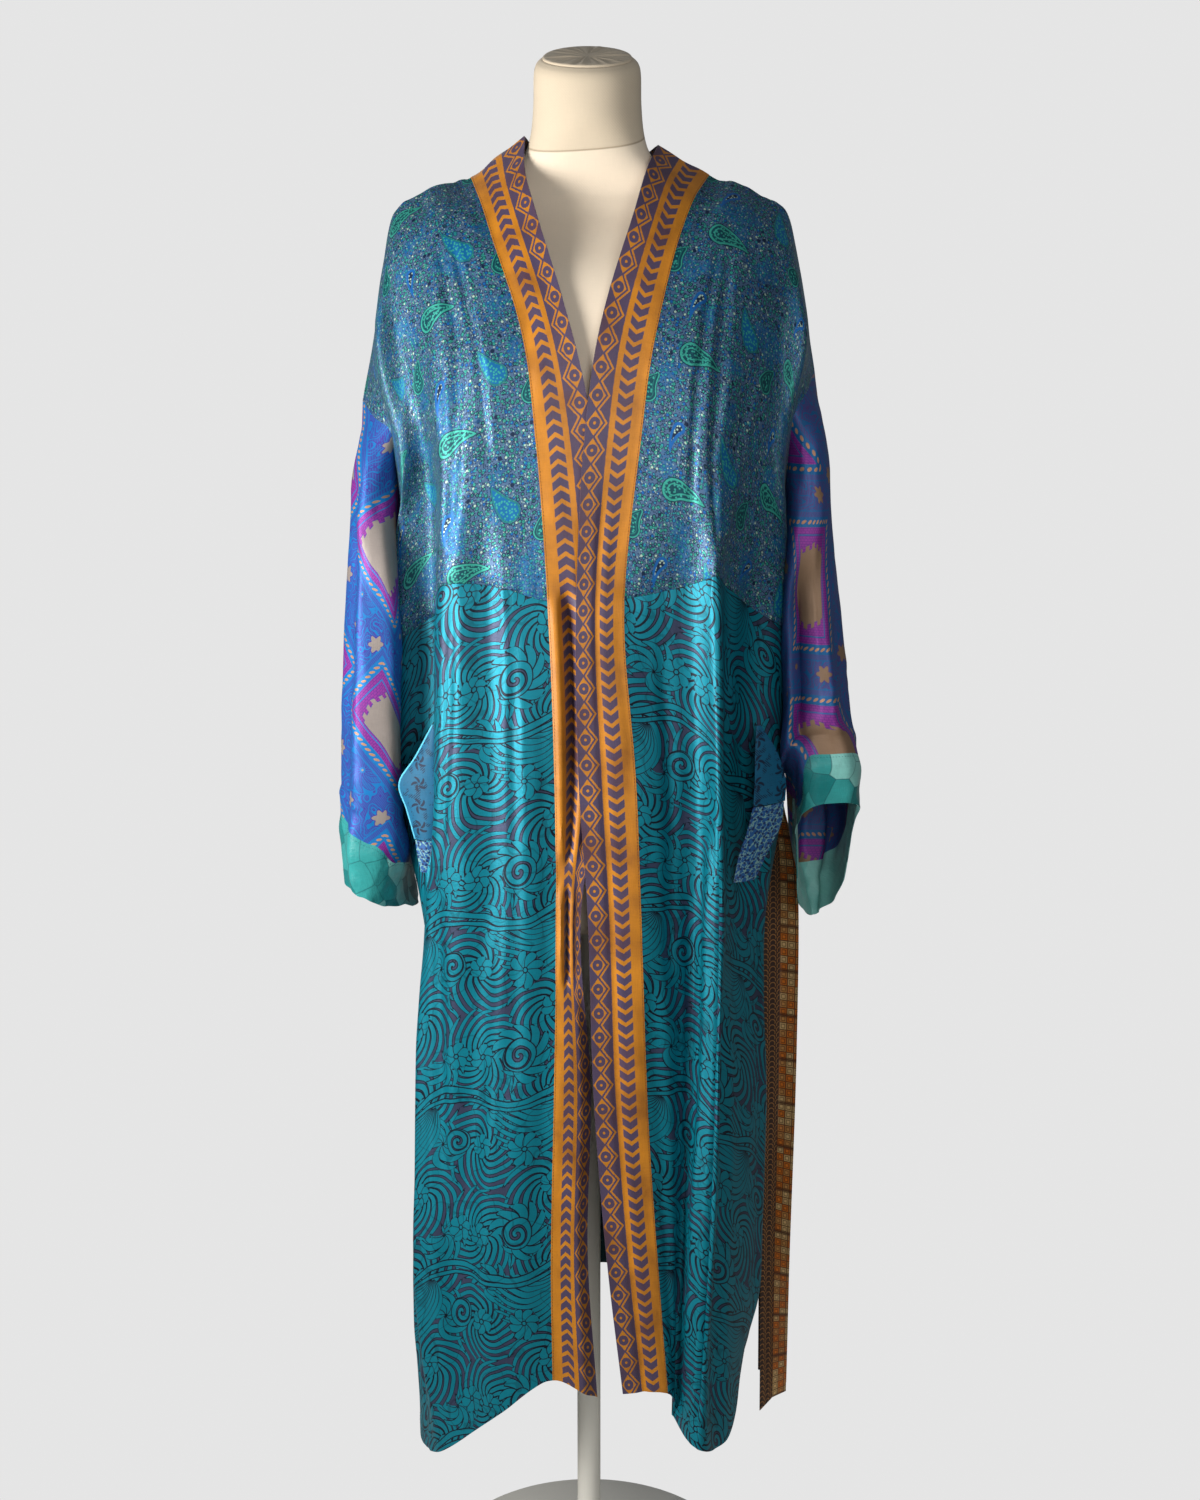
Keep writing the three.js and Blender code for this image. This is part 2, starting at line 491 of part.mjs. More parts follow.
// The back's shoulder and side seams are the fronts' own points
const seamColumns = sideColumn - edgeColumn;
for (let k = 0; k <= seamColumns; k += 1) {
  backGrid[0][k].copy(leftFront.grid[0][sideColumn - k]);
  backGrid[0][backLast - k].copy(rightFront.grid[0][sideColumn - k]);
}
for (let r = underarmRow; r <= hemRow; r += 1) {
  backGrid[r][0].copy(leftFront.grid[r][sideColumn]);
  backGrid[r][backLast].copy(rightFront.grid[r][sideColumn]);
}
const back = { grid: backGrid, normals: gridNormals(backGrid, 1) };

// Sleeves: rings from the armhole down to the open end of the cuff
function ringPoint(ring, turn, side) {
  const angle = 2 * Math.PI * turn;
  const c = Math.cos(angle);
  const s = Math.sin(angle);
  const wide = Math.sign(c) * Math.abs(c) ** ringSquareness;
  const deep = Math.sign(s) * Math.abs(s) ** ringSquareness;
  const [frontDepth, backDepth] = ring.depth;
  const depth = (frontDepth + backDepth) / 2 - deep * ((backDepth - frontDepth) / 2);
  const wallAt = ([front, rear]) => front + (rear - front) * (0.5 - 0.5 * deep);
  const inner = wallAt(ring.inner);
  const outer = wallAt(ring.outer);
  const out = (outer + inner) / 2 + wide * ((outer - inner) / 2);
  const lift = Math.sign(s) * Math.abs(s) ** 0.35;
  const height = (ring.outerZ + ring.innerZ) / 2 + c * ((ring.outerZ - ring.innerZ) / 2) + lift * ring.lean;
  return new THREE.Vector3(side * out, depth, height);
}

function sleeveSheet(front, backColumn, rings, folds, side) {
  const armhole = [];
  for (let r = 0; r < underarmRow; r += 1) armhole.push(front.grid[r][sideColumn].clone());
  for (let r = underarmRow; r > 0; r -= 1) armhole.push(back.grid[r][backColumn].clone());
  const turns = armhole.map((_, k) => k / armhole.length);
  const net = [armhole, ...rings.map((ring) => turns.map((turn) => ringPoint(ring, turn, side)))];
  const weights = smoothWeights([0, ...rings.map((ring) => ring.at)], sleeveRowsAt);
  const grid = weights.map((w) => turns.map((_, c) => weightedPoint(w, net.map((row) => row[c]))));
  raiseFolds(grid, gridNormals(grid, side, true), (r, c) => folds.reduce((sum, fold) => {
    const strength = ease((sleeveRowsAt[r] - fold.from) * 6) * ease((fold.until - sleeveRowsAt[r]) * 6);
    return sum + fold.height * strength * bump((turns[c] - fold.turn) / fold.half);
  }, 0));
  return { grid, normals: gridNormals(grid, side, true) };
}

const leftSleeve = sleeveSheet(leftFront, 0, leftRings, leftSleeveFolds, -1);
const rightSleeve = sleeveSheet(rightFront, backLast, rightRings, rightSleeveFolds, 1);

// The trim is one strip: up the left front, round the back of the neck, down the right
const trimRows = [];
for (let r = hemRow; r >= 0; r -= 1) trimRows.push(leftFront.grid[r].slice(0, edgeColumn + 1));
const neckInner = [
  new THREE.Vector3(-leftSections[0].trim[0], leftSections[0].trim[1], leftSections[0].trim[2]),
  new THREE.Vector3(-48, 46, 1512),
  new THREE.Vector3(0, 70, 1502),
  new THREE.Vector3(50, 46, 1506),
  new THREE.Vector3(rightSections[0].trim[0], rightSections[0].trim[1], rightSections[0].trim[2]),
];
const neckTurns = Array.from({ length: 2 * neckSteps - 1 }, (_, k) => (k + 1) / (2 * neckSteps));
const neckWeights = smoothWeights([0, 0.25, 0.5, 0.75, 1], neckTurns);
neckTurns.forEach((_, k) => {
  const inner = weightedPoint(neckWeights[k], neckInner);
  const outer = back.grid[0][seamColumns + 1 + k];
  trimRows.push(Array.from({ length: edgeColumn + 1 }, (_, c) => inner.clone().lerp(outer, c / edgeColumn)));
});
for (let r = 0; r <= hemRow; r += 1) trimRows.push(rightFront.grid[r].slice(0, edgeColumn + 1));
const trim = { grid: trimRows, normals: gridNormals(trimRows, -1) };

// Shared directions along every seam
const reversed = (list) => [...list].reverse();
shareNormals(reversed(leftFront.normals[0].slice(edgeColumn)), back.normals[0].slice(0, seamColumns + 1));
shareNormals(rightFront.normals[0].slice(edgeColumn), back.normals[0].slice(backLast - seamColumns));
shareNormals(columnOf(leftFront.normals, sideColumn).slice(underarmRow),
  columnOf(back.normals, 0).slice(underarmRow));
shareNormals(columnOf(rightFront.normals, sideColumn).slice(underarmRow),
  columnOf(back.normals, backLast).slice(underarmRow));
// Round the armhole the two sheets can fold back on each other, so the way into both
// sheets is added to their directions, and a folded seam is opened a little more
function shareArmhole(front, backColumn, sleeve) {
  const ring = sleeve.grid[0];
  const last = ring.length;
  const inward = backColumn === 0 ? 1 : -1;
  const stitches = ring.map((point, k) => {
    const onFront = k <= underarmRow;
    const r = onFront ? k : 2 * underarmRow - k;
    const along = ring[(k + 1) % last].clone().sub(ring[(k + last - 1) % last]).normalize();
    const into = (neighbour) => {
      const way = neighbour.clone().sub(point).normalize();
      return way.addScaledVector(along, -way.dot(along));
    };
    const members = [sleeve.normals[0][k]];
    if (onFront) members.push(front.normals[r][sideColumn]);
    if (!onFront || r === 0 || r === underarmRow) members.push(back.normals[r][backColumn]);
    const bodyPoint = onFront ? front.grid[r][sideColumn - 1] : back.grid[r][backColumn + inward];
    const ways = [into(sleeve.grid[1][k]), into(bodyPoint)];
    const direction = new THREE.Vector3();
    [...members, ...ways].forEach((vector) => direction.add(vector));
    const apart = sleeve.grid[1][k].clone().sub(bodyPoint);
    return { members, direction: direction.normalize(), apart, folded: Math.max(0, ways[0].dot(ways[1])) };
  });
  stitches.forEach(({ members, direction, apart, folded }, k) => {
    members.forEach((normal) => normal.copy(direction));
    apart.addScaledVector(direction, -apart.dot(direction)).normalize();
    ring[k].addScaledVector(apart, foldedSeamGap * folded);
  });
}
shareArmhole(leftFront, 0, leftSleeve);
shareArmhole(rightFront, backLast, rightSleeve);
const trimEdge = columnOf(trim.normals, edgeColumn);
shareNormals(trimEdge.slice(0, hemRow + 1), reversed(columnOf(leftFront.normals, edgeColumn)));
shareNormals(trimEdge.slice(hemRow + 1 + neckTurns.length), columnOf(rightFront.normals, edgeColumn));
shareNormals(trimEdge.slice(hemRow + 1, hemRow + 1 + neckTurns.length),
  back.normals[0].slice(seamColumns + 1, backLast - seamColumns));

// Panels of the robe
const allSeams = { top: true, bottom: true, start: true, end: true };
const toHem = { top: true, start: true, end: true };
const panels = {
  front_bodice_left: cutSheet(leftFront, [0, waistRow], [edgeColumn, sideColumn], allSeams),
  front_bodice_right: cutSheet(rightFront, [0, waistRow], [edgeColumn, sideColumn], allSeams),
  back_bodice: cutSheet(back, [0, waistRow], [0, backLast], allSeams),
  front_skirt_left: cutSheet(leftFront, [waistRow, hemRow], [edgeColumn, sideColumn], toHem),
  front_skirt_right: cutSheet(rightFront, [waistRow, hemRow], [edgeColumn, sideColumn], toHem),
  back_skirt: cutSheet(back, [waistRow, hemRow], [0, backLast], toHem),
};
Object.entries(panels).forEach(([name, sheet]) => {
  addSheet(name, sheet, silkWall, name.includes('bodice') ? 'bodiceSilk' : 'skirtSilk');
});
const trimStrip = cutSheet(trim, [0, trimRows.length - 1], [0, edgeColumn], { end: true });
addSheet('neck_band', trimStrip, trimWall, 'trimSilk');
Object.entries({ left: leftSleeve, right: rightSleeve }).forEach(([name, sleeve]) => {
  const around = [0, sleeve.grid[0].length - 1];
  const last = sleeveRowsAt.length - 1;
  addSheet(`sleeve_${name}`, cutSheet(sleeve, [0, cuffFirstRow], around, { top: true, bottom: true }),
    silkWall, 'sleeveSilk', true);
  addSheet(`cuff_${name}`, cutSheet(sleeve, [cuffFirstRow, last], around, { top: true }),
    silkWall, 'cuffSilk', true);
});

// Pocket bags: thin sheets from the seam edge to the free edge
Object.entries(pockets).forEach(([name, pocket]) => {
  const grid = pocket.rows.map((row) => [0, 0.33, 0.67, 1].map((share) => {
    const belly = 4 * share * (1 - share);
    const width = row.free[0] - row.seam[0];
    return new THREE.Vector3(pocket.side * (row.seam[0] + width * share),
      row.seam[1] + (row.free[1] - row.seam[1]) * share - belly * Math.min(3, 0.15 * width), row.height);
  }));
  const normals = gridNormals(grid, pocket.side);
  addSheet(name, { grid, normals }, pocketWall, name.includes('upper') ? 'pocketPlain' : 'pocketDitsy');
});

// Belt: a strip with a soft lengthwise crease
const beltSamples = [];
const beltRowsBetween = [2, 2, 2, 2, 2, 2, 1, 1, 1, 2, 2, 2, 2, 2, 2];
beltRowsBetween.forEach((rows, i) => {
  for (let k = 0; k < rows; k += 1) beltSamples.push(i + k / rows);
});
beltSamples.push(beltWay.length - 1);
const beltWeights = smoothWeights(beltWay.map((_, i) => i), beltSamples);
const beltGrid = beltWeights.map((w) => {
  const value = (key) => w.reduce((sum, weight, k) => sum + weight * beltWay[k][key], 0);
  return [-1, -0.5, 0, 0.5, 1].map((x) => new THREE.Vector3(value('out') + x * value('half'),
    value('depth') + value('crease') * (1 - Math.abs(x)) * 0.5,
    value('height') + x * value('slant')));
});
addSheet('belt', { grid: beltGrid, normals: gridNormals(beltGrid, 1) }, beltWall, 'beltSilk');

// Belt loop: a small strip that stands off the side seam
const loopPath = [
  [beltLoop.seam, beltLoop.low], [beltLoop.stand - 3, beltLoop.low], [beltLoop.stand, beltLoop.low + 3],
  [beltLoop.stand, beltLoop.high - 3], [beltLoop.stand - 3, beltLoop.high], [beltLoop.seam, beltLoop.high],
];
const loopGrid = loopPath.map(([out, height]) => [-1, 1].map((x) => (
  new THREE.Vector3(out, beltLoop.depth + x * beltLoop.half, height))));
addSheet('belt_loop', { grid: loopGrid, normals: gridNormals(loopGrid, 1) }, beltLoop.wall, 'skirtSilk');

// Dress form: closed sections from the hip to the leaning top of the neck
function solidOfRings(rings) {
  const positions = [];
  const index = [];
  const around = rings[0].length;
  rings.forEach((ring) => ring.forEach((p) => positions.push(p.x, p.y, p.z)));
  for (let r = 0; r < rings.length - 1; r += 1) {
    for (let c = 0; c < around; c += 1) {
      const a = r * around + c;
      const b = r * around + ((c + 1) % around);
      index.push(a, b, b + around, a, b + around, a + around);
    }
  }
  [0, rings.length - 1].forEach((r) => {
    const centre = rings[r].reduce((sum, p) => sum.add(p), new THREE.Vector3()).divideScalar(around);
    const hub = positions.length / 3;
    positions.push(centre.x, centre.y, centre.z);
    for (let c = 0; c < around; c += 1) {
      const a = r * around + c;
      const b = r * around + ((c + 1) % around);
      index.push(...(r === 0 ? [hub, b, a] : [hub, a, b]));
    }
  });
  return closedGeometry(positions, index);
}
function formRing(section, squareness, lift) {
  return Array.from({ length: formAround }, (_, k) => {
    const angle = (2 * Math.PI * k) / formAround;
    const c = Math.cos(angle);
    const s = Math.sin(angle);
    const depth = Math.sign(s) * Math.abs(s) ** squareness * (s < 0 ? section.front : section.back);
    return new THREE.Vector3(Math.sign(c) * Math.abs(c) ** squareness * section.half, depth,
      section.height + lift * depth);
  });
}
addPiece('form_torso', solidOfRings(formSections.map((section) => {
  const neck = ease((section.height - 1500) / 60);
  return formRing(section, formSquareness + (1 - formSquareness) * neck, neckLean * neck);
})), 'jersey');
const neckTop = formSections[formSections.length - 1].height;
const capTop = { half: capRadius.half - 2, front: capRadius.front - 2, back: capRadius.back - 2 };
const capFoot = neckTop + capGap;
addPiece('form_neck_cap', solidOfRings([
  { height: capFoot, ...capRadius },
  { height: capFoot + capHeight * 0.6, ...capRadius },
  { height: capFoot + capHeight, ...capTop },
].map((section) => formRing(section, 1, neckLean))), 'capJersey');

// Stand: a pole and a round flat base
const roundRing = (radius, height) => Array.from({ length: 32 }, (_, k) => {
  const angle = (2 * Math.PI * k) / 32;
  return new THREE.Vector3(radius * Math.cos(angle), radius * Math.sin(angle), height);
});
addPiece('stand_pole', solidOfRings([roundRing(pole.radius, pole.foot), roundRing(pole.radius, pole.head)]),
  'standPaint');
addPiece('stand_base', solidOfRings([
  roundRing(base.radius, 0),
  roundRing(base.radius, base.height - base.rounding),
  roundRing(base.radius - base.rounding, base.height),
]), 'standPaint');

export default group;
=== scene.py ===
import json
import math
import bpy
import numpy as np
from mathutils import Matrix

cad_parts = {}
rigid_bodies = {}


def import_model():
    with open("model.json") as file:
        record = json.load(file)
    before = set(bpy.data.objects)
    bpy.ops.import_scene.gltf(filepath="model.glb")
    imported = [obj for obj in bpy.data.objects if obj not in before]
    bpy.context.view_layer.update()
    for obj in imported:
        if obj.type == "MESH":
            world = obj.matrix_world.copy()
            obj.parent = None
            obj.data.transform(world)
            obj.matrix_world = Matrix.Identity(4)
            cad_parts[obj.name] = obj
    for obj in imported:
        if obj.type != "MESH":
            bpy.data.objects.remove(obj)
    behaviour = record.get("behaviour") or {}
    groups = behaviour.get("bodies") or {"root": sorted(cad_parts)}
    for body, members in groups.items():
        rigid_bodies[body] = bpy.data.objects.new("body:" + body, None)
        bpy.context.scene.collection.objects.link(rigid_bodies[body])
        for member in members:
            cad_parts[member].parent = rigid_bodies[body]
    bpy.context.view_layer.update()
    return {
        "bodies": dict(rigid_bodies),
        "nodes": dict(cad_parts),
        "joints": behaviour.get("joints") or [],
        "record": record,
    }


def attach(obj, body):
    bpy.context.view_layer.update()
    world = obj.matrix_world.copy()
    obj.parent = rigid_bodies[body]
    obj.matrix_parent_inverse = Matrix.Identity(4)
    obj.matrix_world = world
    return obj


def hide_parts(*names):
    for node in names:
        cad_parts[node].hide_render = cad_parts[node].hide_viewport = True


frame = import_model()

mm = 0.001
scene = bpy.context.scene

# camera: in front of the robe at chest height, tilted down a little

cameraStand = {"out": 12, "depth": -2100, "height": 1368, "tilt": 12, "focalPixels": 2117, "tall": 1500}


def makeCamera():
    # the lens's width is in sensor widths, so the focal length in pixels is taken against the tall side
    lens = bpy.data.cameras.new("viewCamera")
    lens.lens = cameraStand["focalPixels"] / cameraStand["tall"] * lens.sensor_width
    lens.clip_start, lens.clip_end = 0.05, 60
    eye = bpy.data.objects.new("viewCamera", lens)
    eye.location = (cameraStand["out"] * mm, cameraStand["depth"] * mm, cameraStand["height"] * mm)
    eye.rotation_euler = (math.radians(90 - cameraStand["tilt"]), 0, 0)
    scene.collection.objects.link(eye)
    scene.camera = eye


makeCamera()
print("camera placed")

# surfaces: grids of points worked out as whole arrays


def hermite(knots, values, samples):
    # a smooth curve through values at the knots, its slope at each knot blended from both sides
    knots, values, samples = (np.asarray(a, float) for a in (knots, values, samples))
    gap = np.diff(knots)
    spread = (-1,) + (1,) * (values.ndim - 1)
    slope = np.diff(values, axis=0) / gap.reshape(spread)
    tangent = np.empty_like(values)
    tangent[0], tangent[-1] = slope[0], slope[-1]
    before, after = gap[:-1].reshape(spread), gap[1:].reshape(spread)
    tangent[1:-1] = (slope[:-1] * after + slope[1:] * before) / (before + after)
    i = np.clip(np.searchsorted(knots, samples, side="right") - 1, 0, len(knots) - 2)
    h = gap[i].reshape(spread)
    x = ((samples - knots[i]) / gap[i]).reshape(spread)
    return ((2 * x**3 - 3 * x**2 + 1) * values[i] + (3 * x**2 - 2 * x**3) * values[i + 1]
            + h * ((x**3 - 2 * x**2 + x) * tangent[i] + (x**3 - x**2) * tangent[i + 1]))


def between(marks, steps):
    # values stepped evenly from each mark to the next
    parts = [np.linspace(a, b, n, endpoint=False) for a, b, n in zip(marks[:-1], marks[1:], steps)]
    return np.append(np.concatenate(parts), marks[-1])


def unit(vectors):
    # each vector over its own length
    return vectors / np.maximum(np.linalg.norm(vectors, axis=-1, keepdims=True), 1e-9)


def gridNormals(grid, sign, closed=False):
    # directions square to the grid: its way across crossed with its way down
    if closed:
        across = np.roll(grid, -1, 1) - np.roll(grid, 1, 1)
    else:
        across = np.gradient(grid, axis=1)
    return unit(np.cross(across, np.gradient(grid, axis=0))) * sign


def bump(x):
    # half a cosine wave: 1 at 0, falling to 0 at -1 and 1
    return np.where(np.abs(x) < 1, 0.5 + 0.5 * np.cos(np.pi * np.clip(x, -1, 1)), 0)


def ease(x):
    # 3x^2 - 2x^3 from 0 to 1, level outside
    x = np.clip(x, 0, 1)
    return x * x * (3 - 2 * x)


def foldHeight(folds, across, down):
    # each fold is a soft rise of height along a slanting line, eased in and out at its ends
    across, down = across[None, :], down[:, None]
    total = np.zeros((down.shape[0], across.shape[1]))
    for head, foot, half, height, start, until in folds:
        share = (down - start) / (until - start)
        centre = head + (foot - head) * np.clip(share, 0, 1)
        total += height * ease(share * 5) * ease((1 - share) * 5) * bump((across - centre) / half)
    return total


def ripple(shape, seed, cells, height, closed=False):
    # soft uneven swells: a coarse net of seeded heights, drawn out smoothly over the grid
    net = np.random.default_rng(seed).uniform(-1, 1, (cells[0] + 1, cells[1] + 1))
    if closed:
        net[:, -1] = net[:, 0]
    columns = shape[1] + 1 if closed else shape[1]
    rows = hermite(np.arange(cells[0] + 1), net, np.linspace(0, cells[0], shape[0]))
    wide = hermite(np.arange(cells[1] + 1), rows.T, np.linspace(0, cells[1], columns)).T
    return height * wide[:, :shape[1]]


def alongLength(grid, axis):
    # length of cloth from the first point, along the rows or the columns
    step = np.linalg.norm(np.diff(grid, axis=axis), axis=-1)
    lead = np.zeros_like(np.take(step, [0], axis=axis))
    return np.concatenate([lead, np.cumsum(step, axis=axis)], axis=axis)


def gridFaces(rows, columns, closed=False):
    # the four corners of each cell of a grid of points, numbered row by row
    r, c = np.meshgrid(np.arange(rows - 1), np.arange(columns if closed else columns - 1), indexing="ij")
    at = lambda row, column: row * columns + column % columns
    return np.stack([at(r, c), at(r, c + 1), at(r + 1, c + 1), at(r + 1, c)], -1).reshape(-1, 4)


def addPiece(name, points, faces, materials):
    # a mesh on the root body, its points in mm
    mesh = bpy.data.meshes.new(name)
    mesh.from_pydata((points * mm).tolist(), [], faces)
    for material in materials:
        mesh.materials.append(material)
    piece = bpy.data.objects.new(name, mesh)
    scene.collection.objects.link(piece)
    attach(piece, "root")
    return piece


def softened(piece):
    # smooth, but for edges that turn by more than 50 degrees
    piece.data.shade_smooth()
    piece.data.set_sharp_from_angle(angle=math.radians(50))
    piece.data.update()
    return piece


def standsFor(piece, node, slotName):
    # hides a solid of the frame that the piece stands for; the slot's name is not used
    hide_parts(node)
    return piece


def shell(name, grid, normals, thick, uv, materials, sign, closed=False):
    # a closed thin wall: the grid moved out and in by half its thickness, joined round its edges
    rows, columns, uvColumns = *grid.shape[:2], uv.shape[1]
    lift = normals * np.broadcast_to(np.asarray(thick, float), (rows, columns))[..., None] / 2
    points = np.concatenate([(grid + lift).reshape(-1, 3), (grid - lift).reshape(-1, 3)])
    front, frontUv = gridFaces(rows, columns, closed), gridFaces(rows, uvColumns)
    quads = [front, front[:, ::-1] + rows * columns]
    quadUvs = [frontUv, frontUv[:, ::-1]]

    def rim(a, b):  # a strip across the wall between neighbouring edge points, each given as row and column
        p, q = (row * columns + column % columns for row, column in (a, b))
        quads.append(np.stack([p, p + rows * columns, q + rows * columns, q], -1))
        p, q = (row * uvColumns + column for row, column in (a, b))
        quadUvs.append(np.stack([p, p, q, q], -1))

    c, r = np.arange(uvColumns - 1), np.arange(rows - 1)
    rim((0 * c, c), (0 * c, c + 1))
    rim((0 * c + rows - 1, c + 1), (0 * c + rows - 1, c))
    if not closed:
        rim((r + 1, 0 * r), (r, 0 * r))
        rim((r, 0 * r + columns - 1), (r + 1, 0 * r + columns - 1))
    quads, quadUvs = (np.concatenate(parts)[:, ::sign] for parts in (quads, quadUvs))
    piece = addPiece(name, points, quads.tolist(), materials)
    layer = piece.data.uv_layers.new(name="cloth")
    layer.data.foreach_set("uv", uv.reshape(-1, 2)[quadUvs.ravel()].astype(np.float32).ravel())
    side = np.zeros(len(quads), np.int32)
    side[len(front):len(front) * 2] = len(materials) - 1
    piece.data.polygons.foreach_set("material_index", side)
    return softened(piece)


def cappedRings(rings):
    # points and faces of stacked rings, closed at both ends with a fan to the ring's middle
    count, around = rings.shape[:2]
    points = np.concatenate([rings.reshape(-1, 3), rings[[0, -1]].mean(1)])
    k, last = np.arange(around), (count - 1) * around
    after = (k + 1) % around
    low = np.stack([0 * k + count * around, after, k], -1)
    high = np.stack([0 * k + count * around + 1, last + k, last + after], -1)
    return points, gridFaces(count, around, True).tolist() + low.tolist() + high.tolist()


def stitchRun(name, path, normals, pitch, size, material):
    # one lozenge of thread at each pitch along the path: length, width and height in mm
    step = np.append(0, np.cumsum(np.linalg.norm(np.diff(path, axis=0), axis=1)))
    at = np.arange(pitch / 2, step[-1], pitch)
    centre, up = (np.stack([np.interp(at, step, line[:, k]) for k in range(3)], -1)
                  for line in (path, normals))
    along, up = unit(np.gradient(centre, axis=0)), unit(up)
    length, width, height = size
    forward, sideways = along * length / 2, np.cross(up, along) * width / 2
    corners = [forward, sideways, -forward, -sideways, up * height, -up * height]
    points = (centre[:, None] + np.stack(corners, 1)).reshape(-1, 3)
    one = np.array([(0, 1, 4), (1, 2, 4), (2, 3, 4), (3, 0, 4), (1, 0, 5), (2, 1, 5), (3, 2, 5), (0, 3, 5)])
    faces = (one[None] + 6 * np.arange(len(at))[:, None, None]).reshape(-1, 3)
    return addPiece(name, points, faces.tolist(), [material])


def cord(name, path, radius, material, around=8):
    # a ring of points square to the path at each of its points
    along = unit(np.gradient(path, axis=0))
    side = unit(np.cross(along, [0.0, 1.0, 0.0]))
    up = np.cross(side, along)
    turn = np.linspace(0, 2 * np.pi, around, endpoint=False)[None, :, None]
    rings = path[:, None] + radius * (np.cos(turn) * side[:, None] + np.sin(turn) * up[:, None])
    piece = addPiece(name, *cappedRings(rings), [material])
    piece.data.shade_smooth()
    return piece


# pattern arithmetic: each step of a formula on a Num is one Math node of its material


class Num:
    def __init__(self, tree, socket):
        self.tree, self.socket = tree, socket

    def calc(self, operation, *others, clamp=False):
        node = self.tree.nodes.new("ShaderNodeMath")
        node.operation, node.use_clamp = operation, clamp
        for slot, value in zip(node.inputs, (self, *others)):
            feed(self.tree, slot, value)
        return Num(self.tree, node.outputs[0])

    def __add__(self, other):
        return self.calc("ADD", other)

    def __sub__(self, other):
        return self.calc("SUBTRACT", other)

    def __rsub__(self, other):
        return self.calc("MULTIPLY_ADD", -1.0, other)

    def __mul__(self, other):
        return self.calc("MULTIPLY", other)

    def __truediv__(self, other):
        return self.calc("DIVIDE", other)

    def __pow__(self, other):
        return self.calc("POWER", other)

    def size(self):
        return self.calc("ABSOLUTE")

    def wrap(self, span):  # to between -span/2 and span/2
        return self.calc("WRAP", span / 2, -span / 2)

    def clip(self, low, high):
        return self.calc("MAXIMUM", low).calc("MINIMUM", high)


def feed(tree, slot, value):
    # a Num is linked to the socket, and any other value is set on it
    if isinstance(value, Num):
        tree.links.new(value.socket, slot)
    elif isinstance(value, tuple) and len(value) == 3 and slot.type == "RGBA":
        slot.default_value = (*value, 1)
    else:
        slot.default_value = value


def under(value, edge, soft=0.3):
    # 1 where the value is under the edge and 0 over it, blended across a soft border
    node = value.tree.nodes.new("ShaderNodeMapRange")
    for slot, given in zip(node.inputs, (value, edge - soft, edge + soft, 1.0, 0.0)):
        feed(value.tree, slot, given)
    return Num(value.tree, node.outputs[0])


def blend(share, first, second):
    # the first number or colour where the share is 0, the second where it is 1
    node = share.tree.nodes.new("ShaderNodeMix")
    colours = isinstance(second, tuple) or isinstance(first, Num) and first.socket.type == "RGBA"
    node.data_type = "RGBA" if colours else "FLOAT"
    base = 6 if colours else 2
    feed(share.tree, node.inputs[0], share)
    feed(share.tree, node.inputs[base], first)
    feed(share.tree, node.inputs[base + 1], second)
    return Num(share.tree, node.outputs[2 if colours else 0])


def together(x, y):
    # two numbers as one vector
    node = x.tree.nodes.new("ShaderNodeCombineXYZ")
    feed(x.tree, node.inputs[0], x)
    feed(x.tree, node.inputs[1], y)
    return Num(x.tree, node.outputs[0])


def radiusOf(x, y):
    # the square root of x^2 + y^2
    return (x * x).calc("ADD", y * y).calc("SQRT")


def cloud(x, y, cell, detail=2.0):
    # soft noise from 0 to 1, its lumps about a cell wide
    node = x.tree.nodes.new("ShaderNodeTexNoise")
    node.noise_dimensions = "2D"
    feed(x.tree, node.inputs["Vector"], together(x, y))
    node.inputs["Scale"].default_value = 1 / cell
    node.inputs["Detail"].default_value = detail
    return Num(x.tree, node.outputs[0])


def dots(x, y, cell, randomness=0.8, feature="F1"):
    # distance in mm from the nearest of many scattered points, and a number drawn for each point
    node = x.tree.nodes.new("ShaderNodeTexVoronoi")
    node.voronoi_dimensions, node.feature = "2D", feature
    feed(x.tree, node.inputs["Vector"], together(x, y))
    node.inputs["Scale"].default_value = 1 / cell
    node.inputs["Randomness"].default_value = randomness
    distance = Num(x.tree, node.outputs["Distance"]) * cell
    if feature != "F1":
        return distance
    parts = x.tree.nodes.new("ShaderNodeSeparateColor")
    x.tree.links.new(node.outputs["Color"], parts.inputs[0])
    return distance, Num(x.tree, parts.outputs[0])


def repeat(u, v, centre, tile, drop=0.5):
    # place within the nearest repeat of a motif; each column of repeats hangs lower than the one before
    out = u - centre[0]
    x = out.wrap(tile[0])
    column = (out - x) * (drop * tile[1] / tile[0])
    return x, (v - centre[1] - column).wrap(tile[1])


def turnedBy(x, y, angle):
    # a place after the pattern's axes turn by the angle
    c, s = math.cos(angle), math.sin(angle)
    return (x * c).calc("ADD", y * s), (y * c).calc("SUBTRACT", x * s)


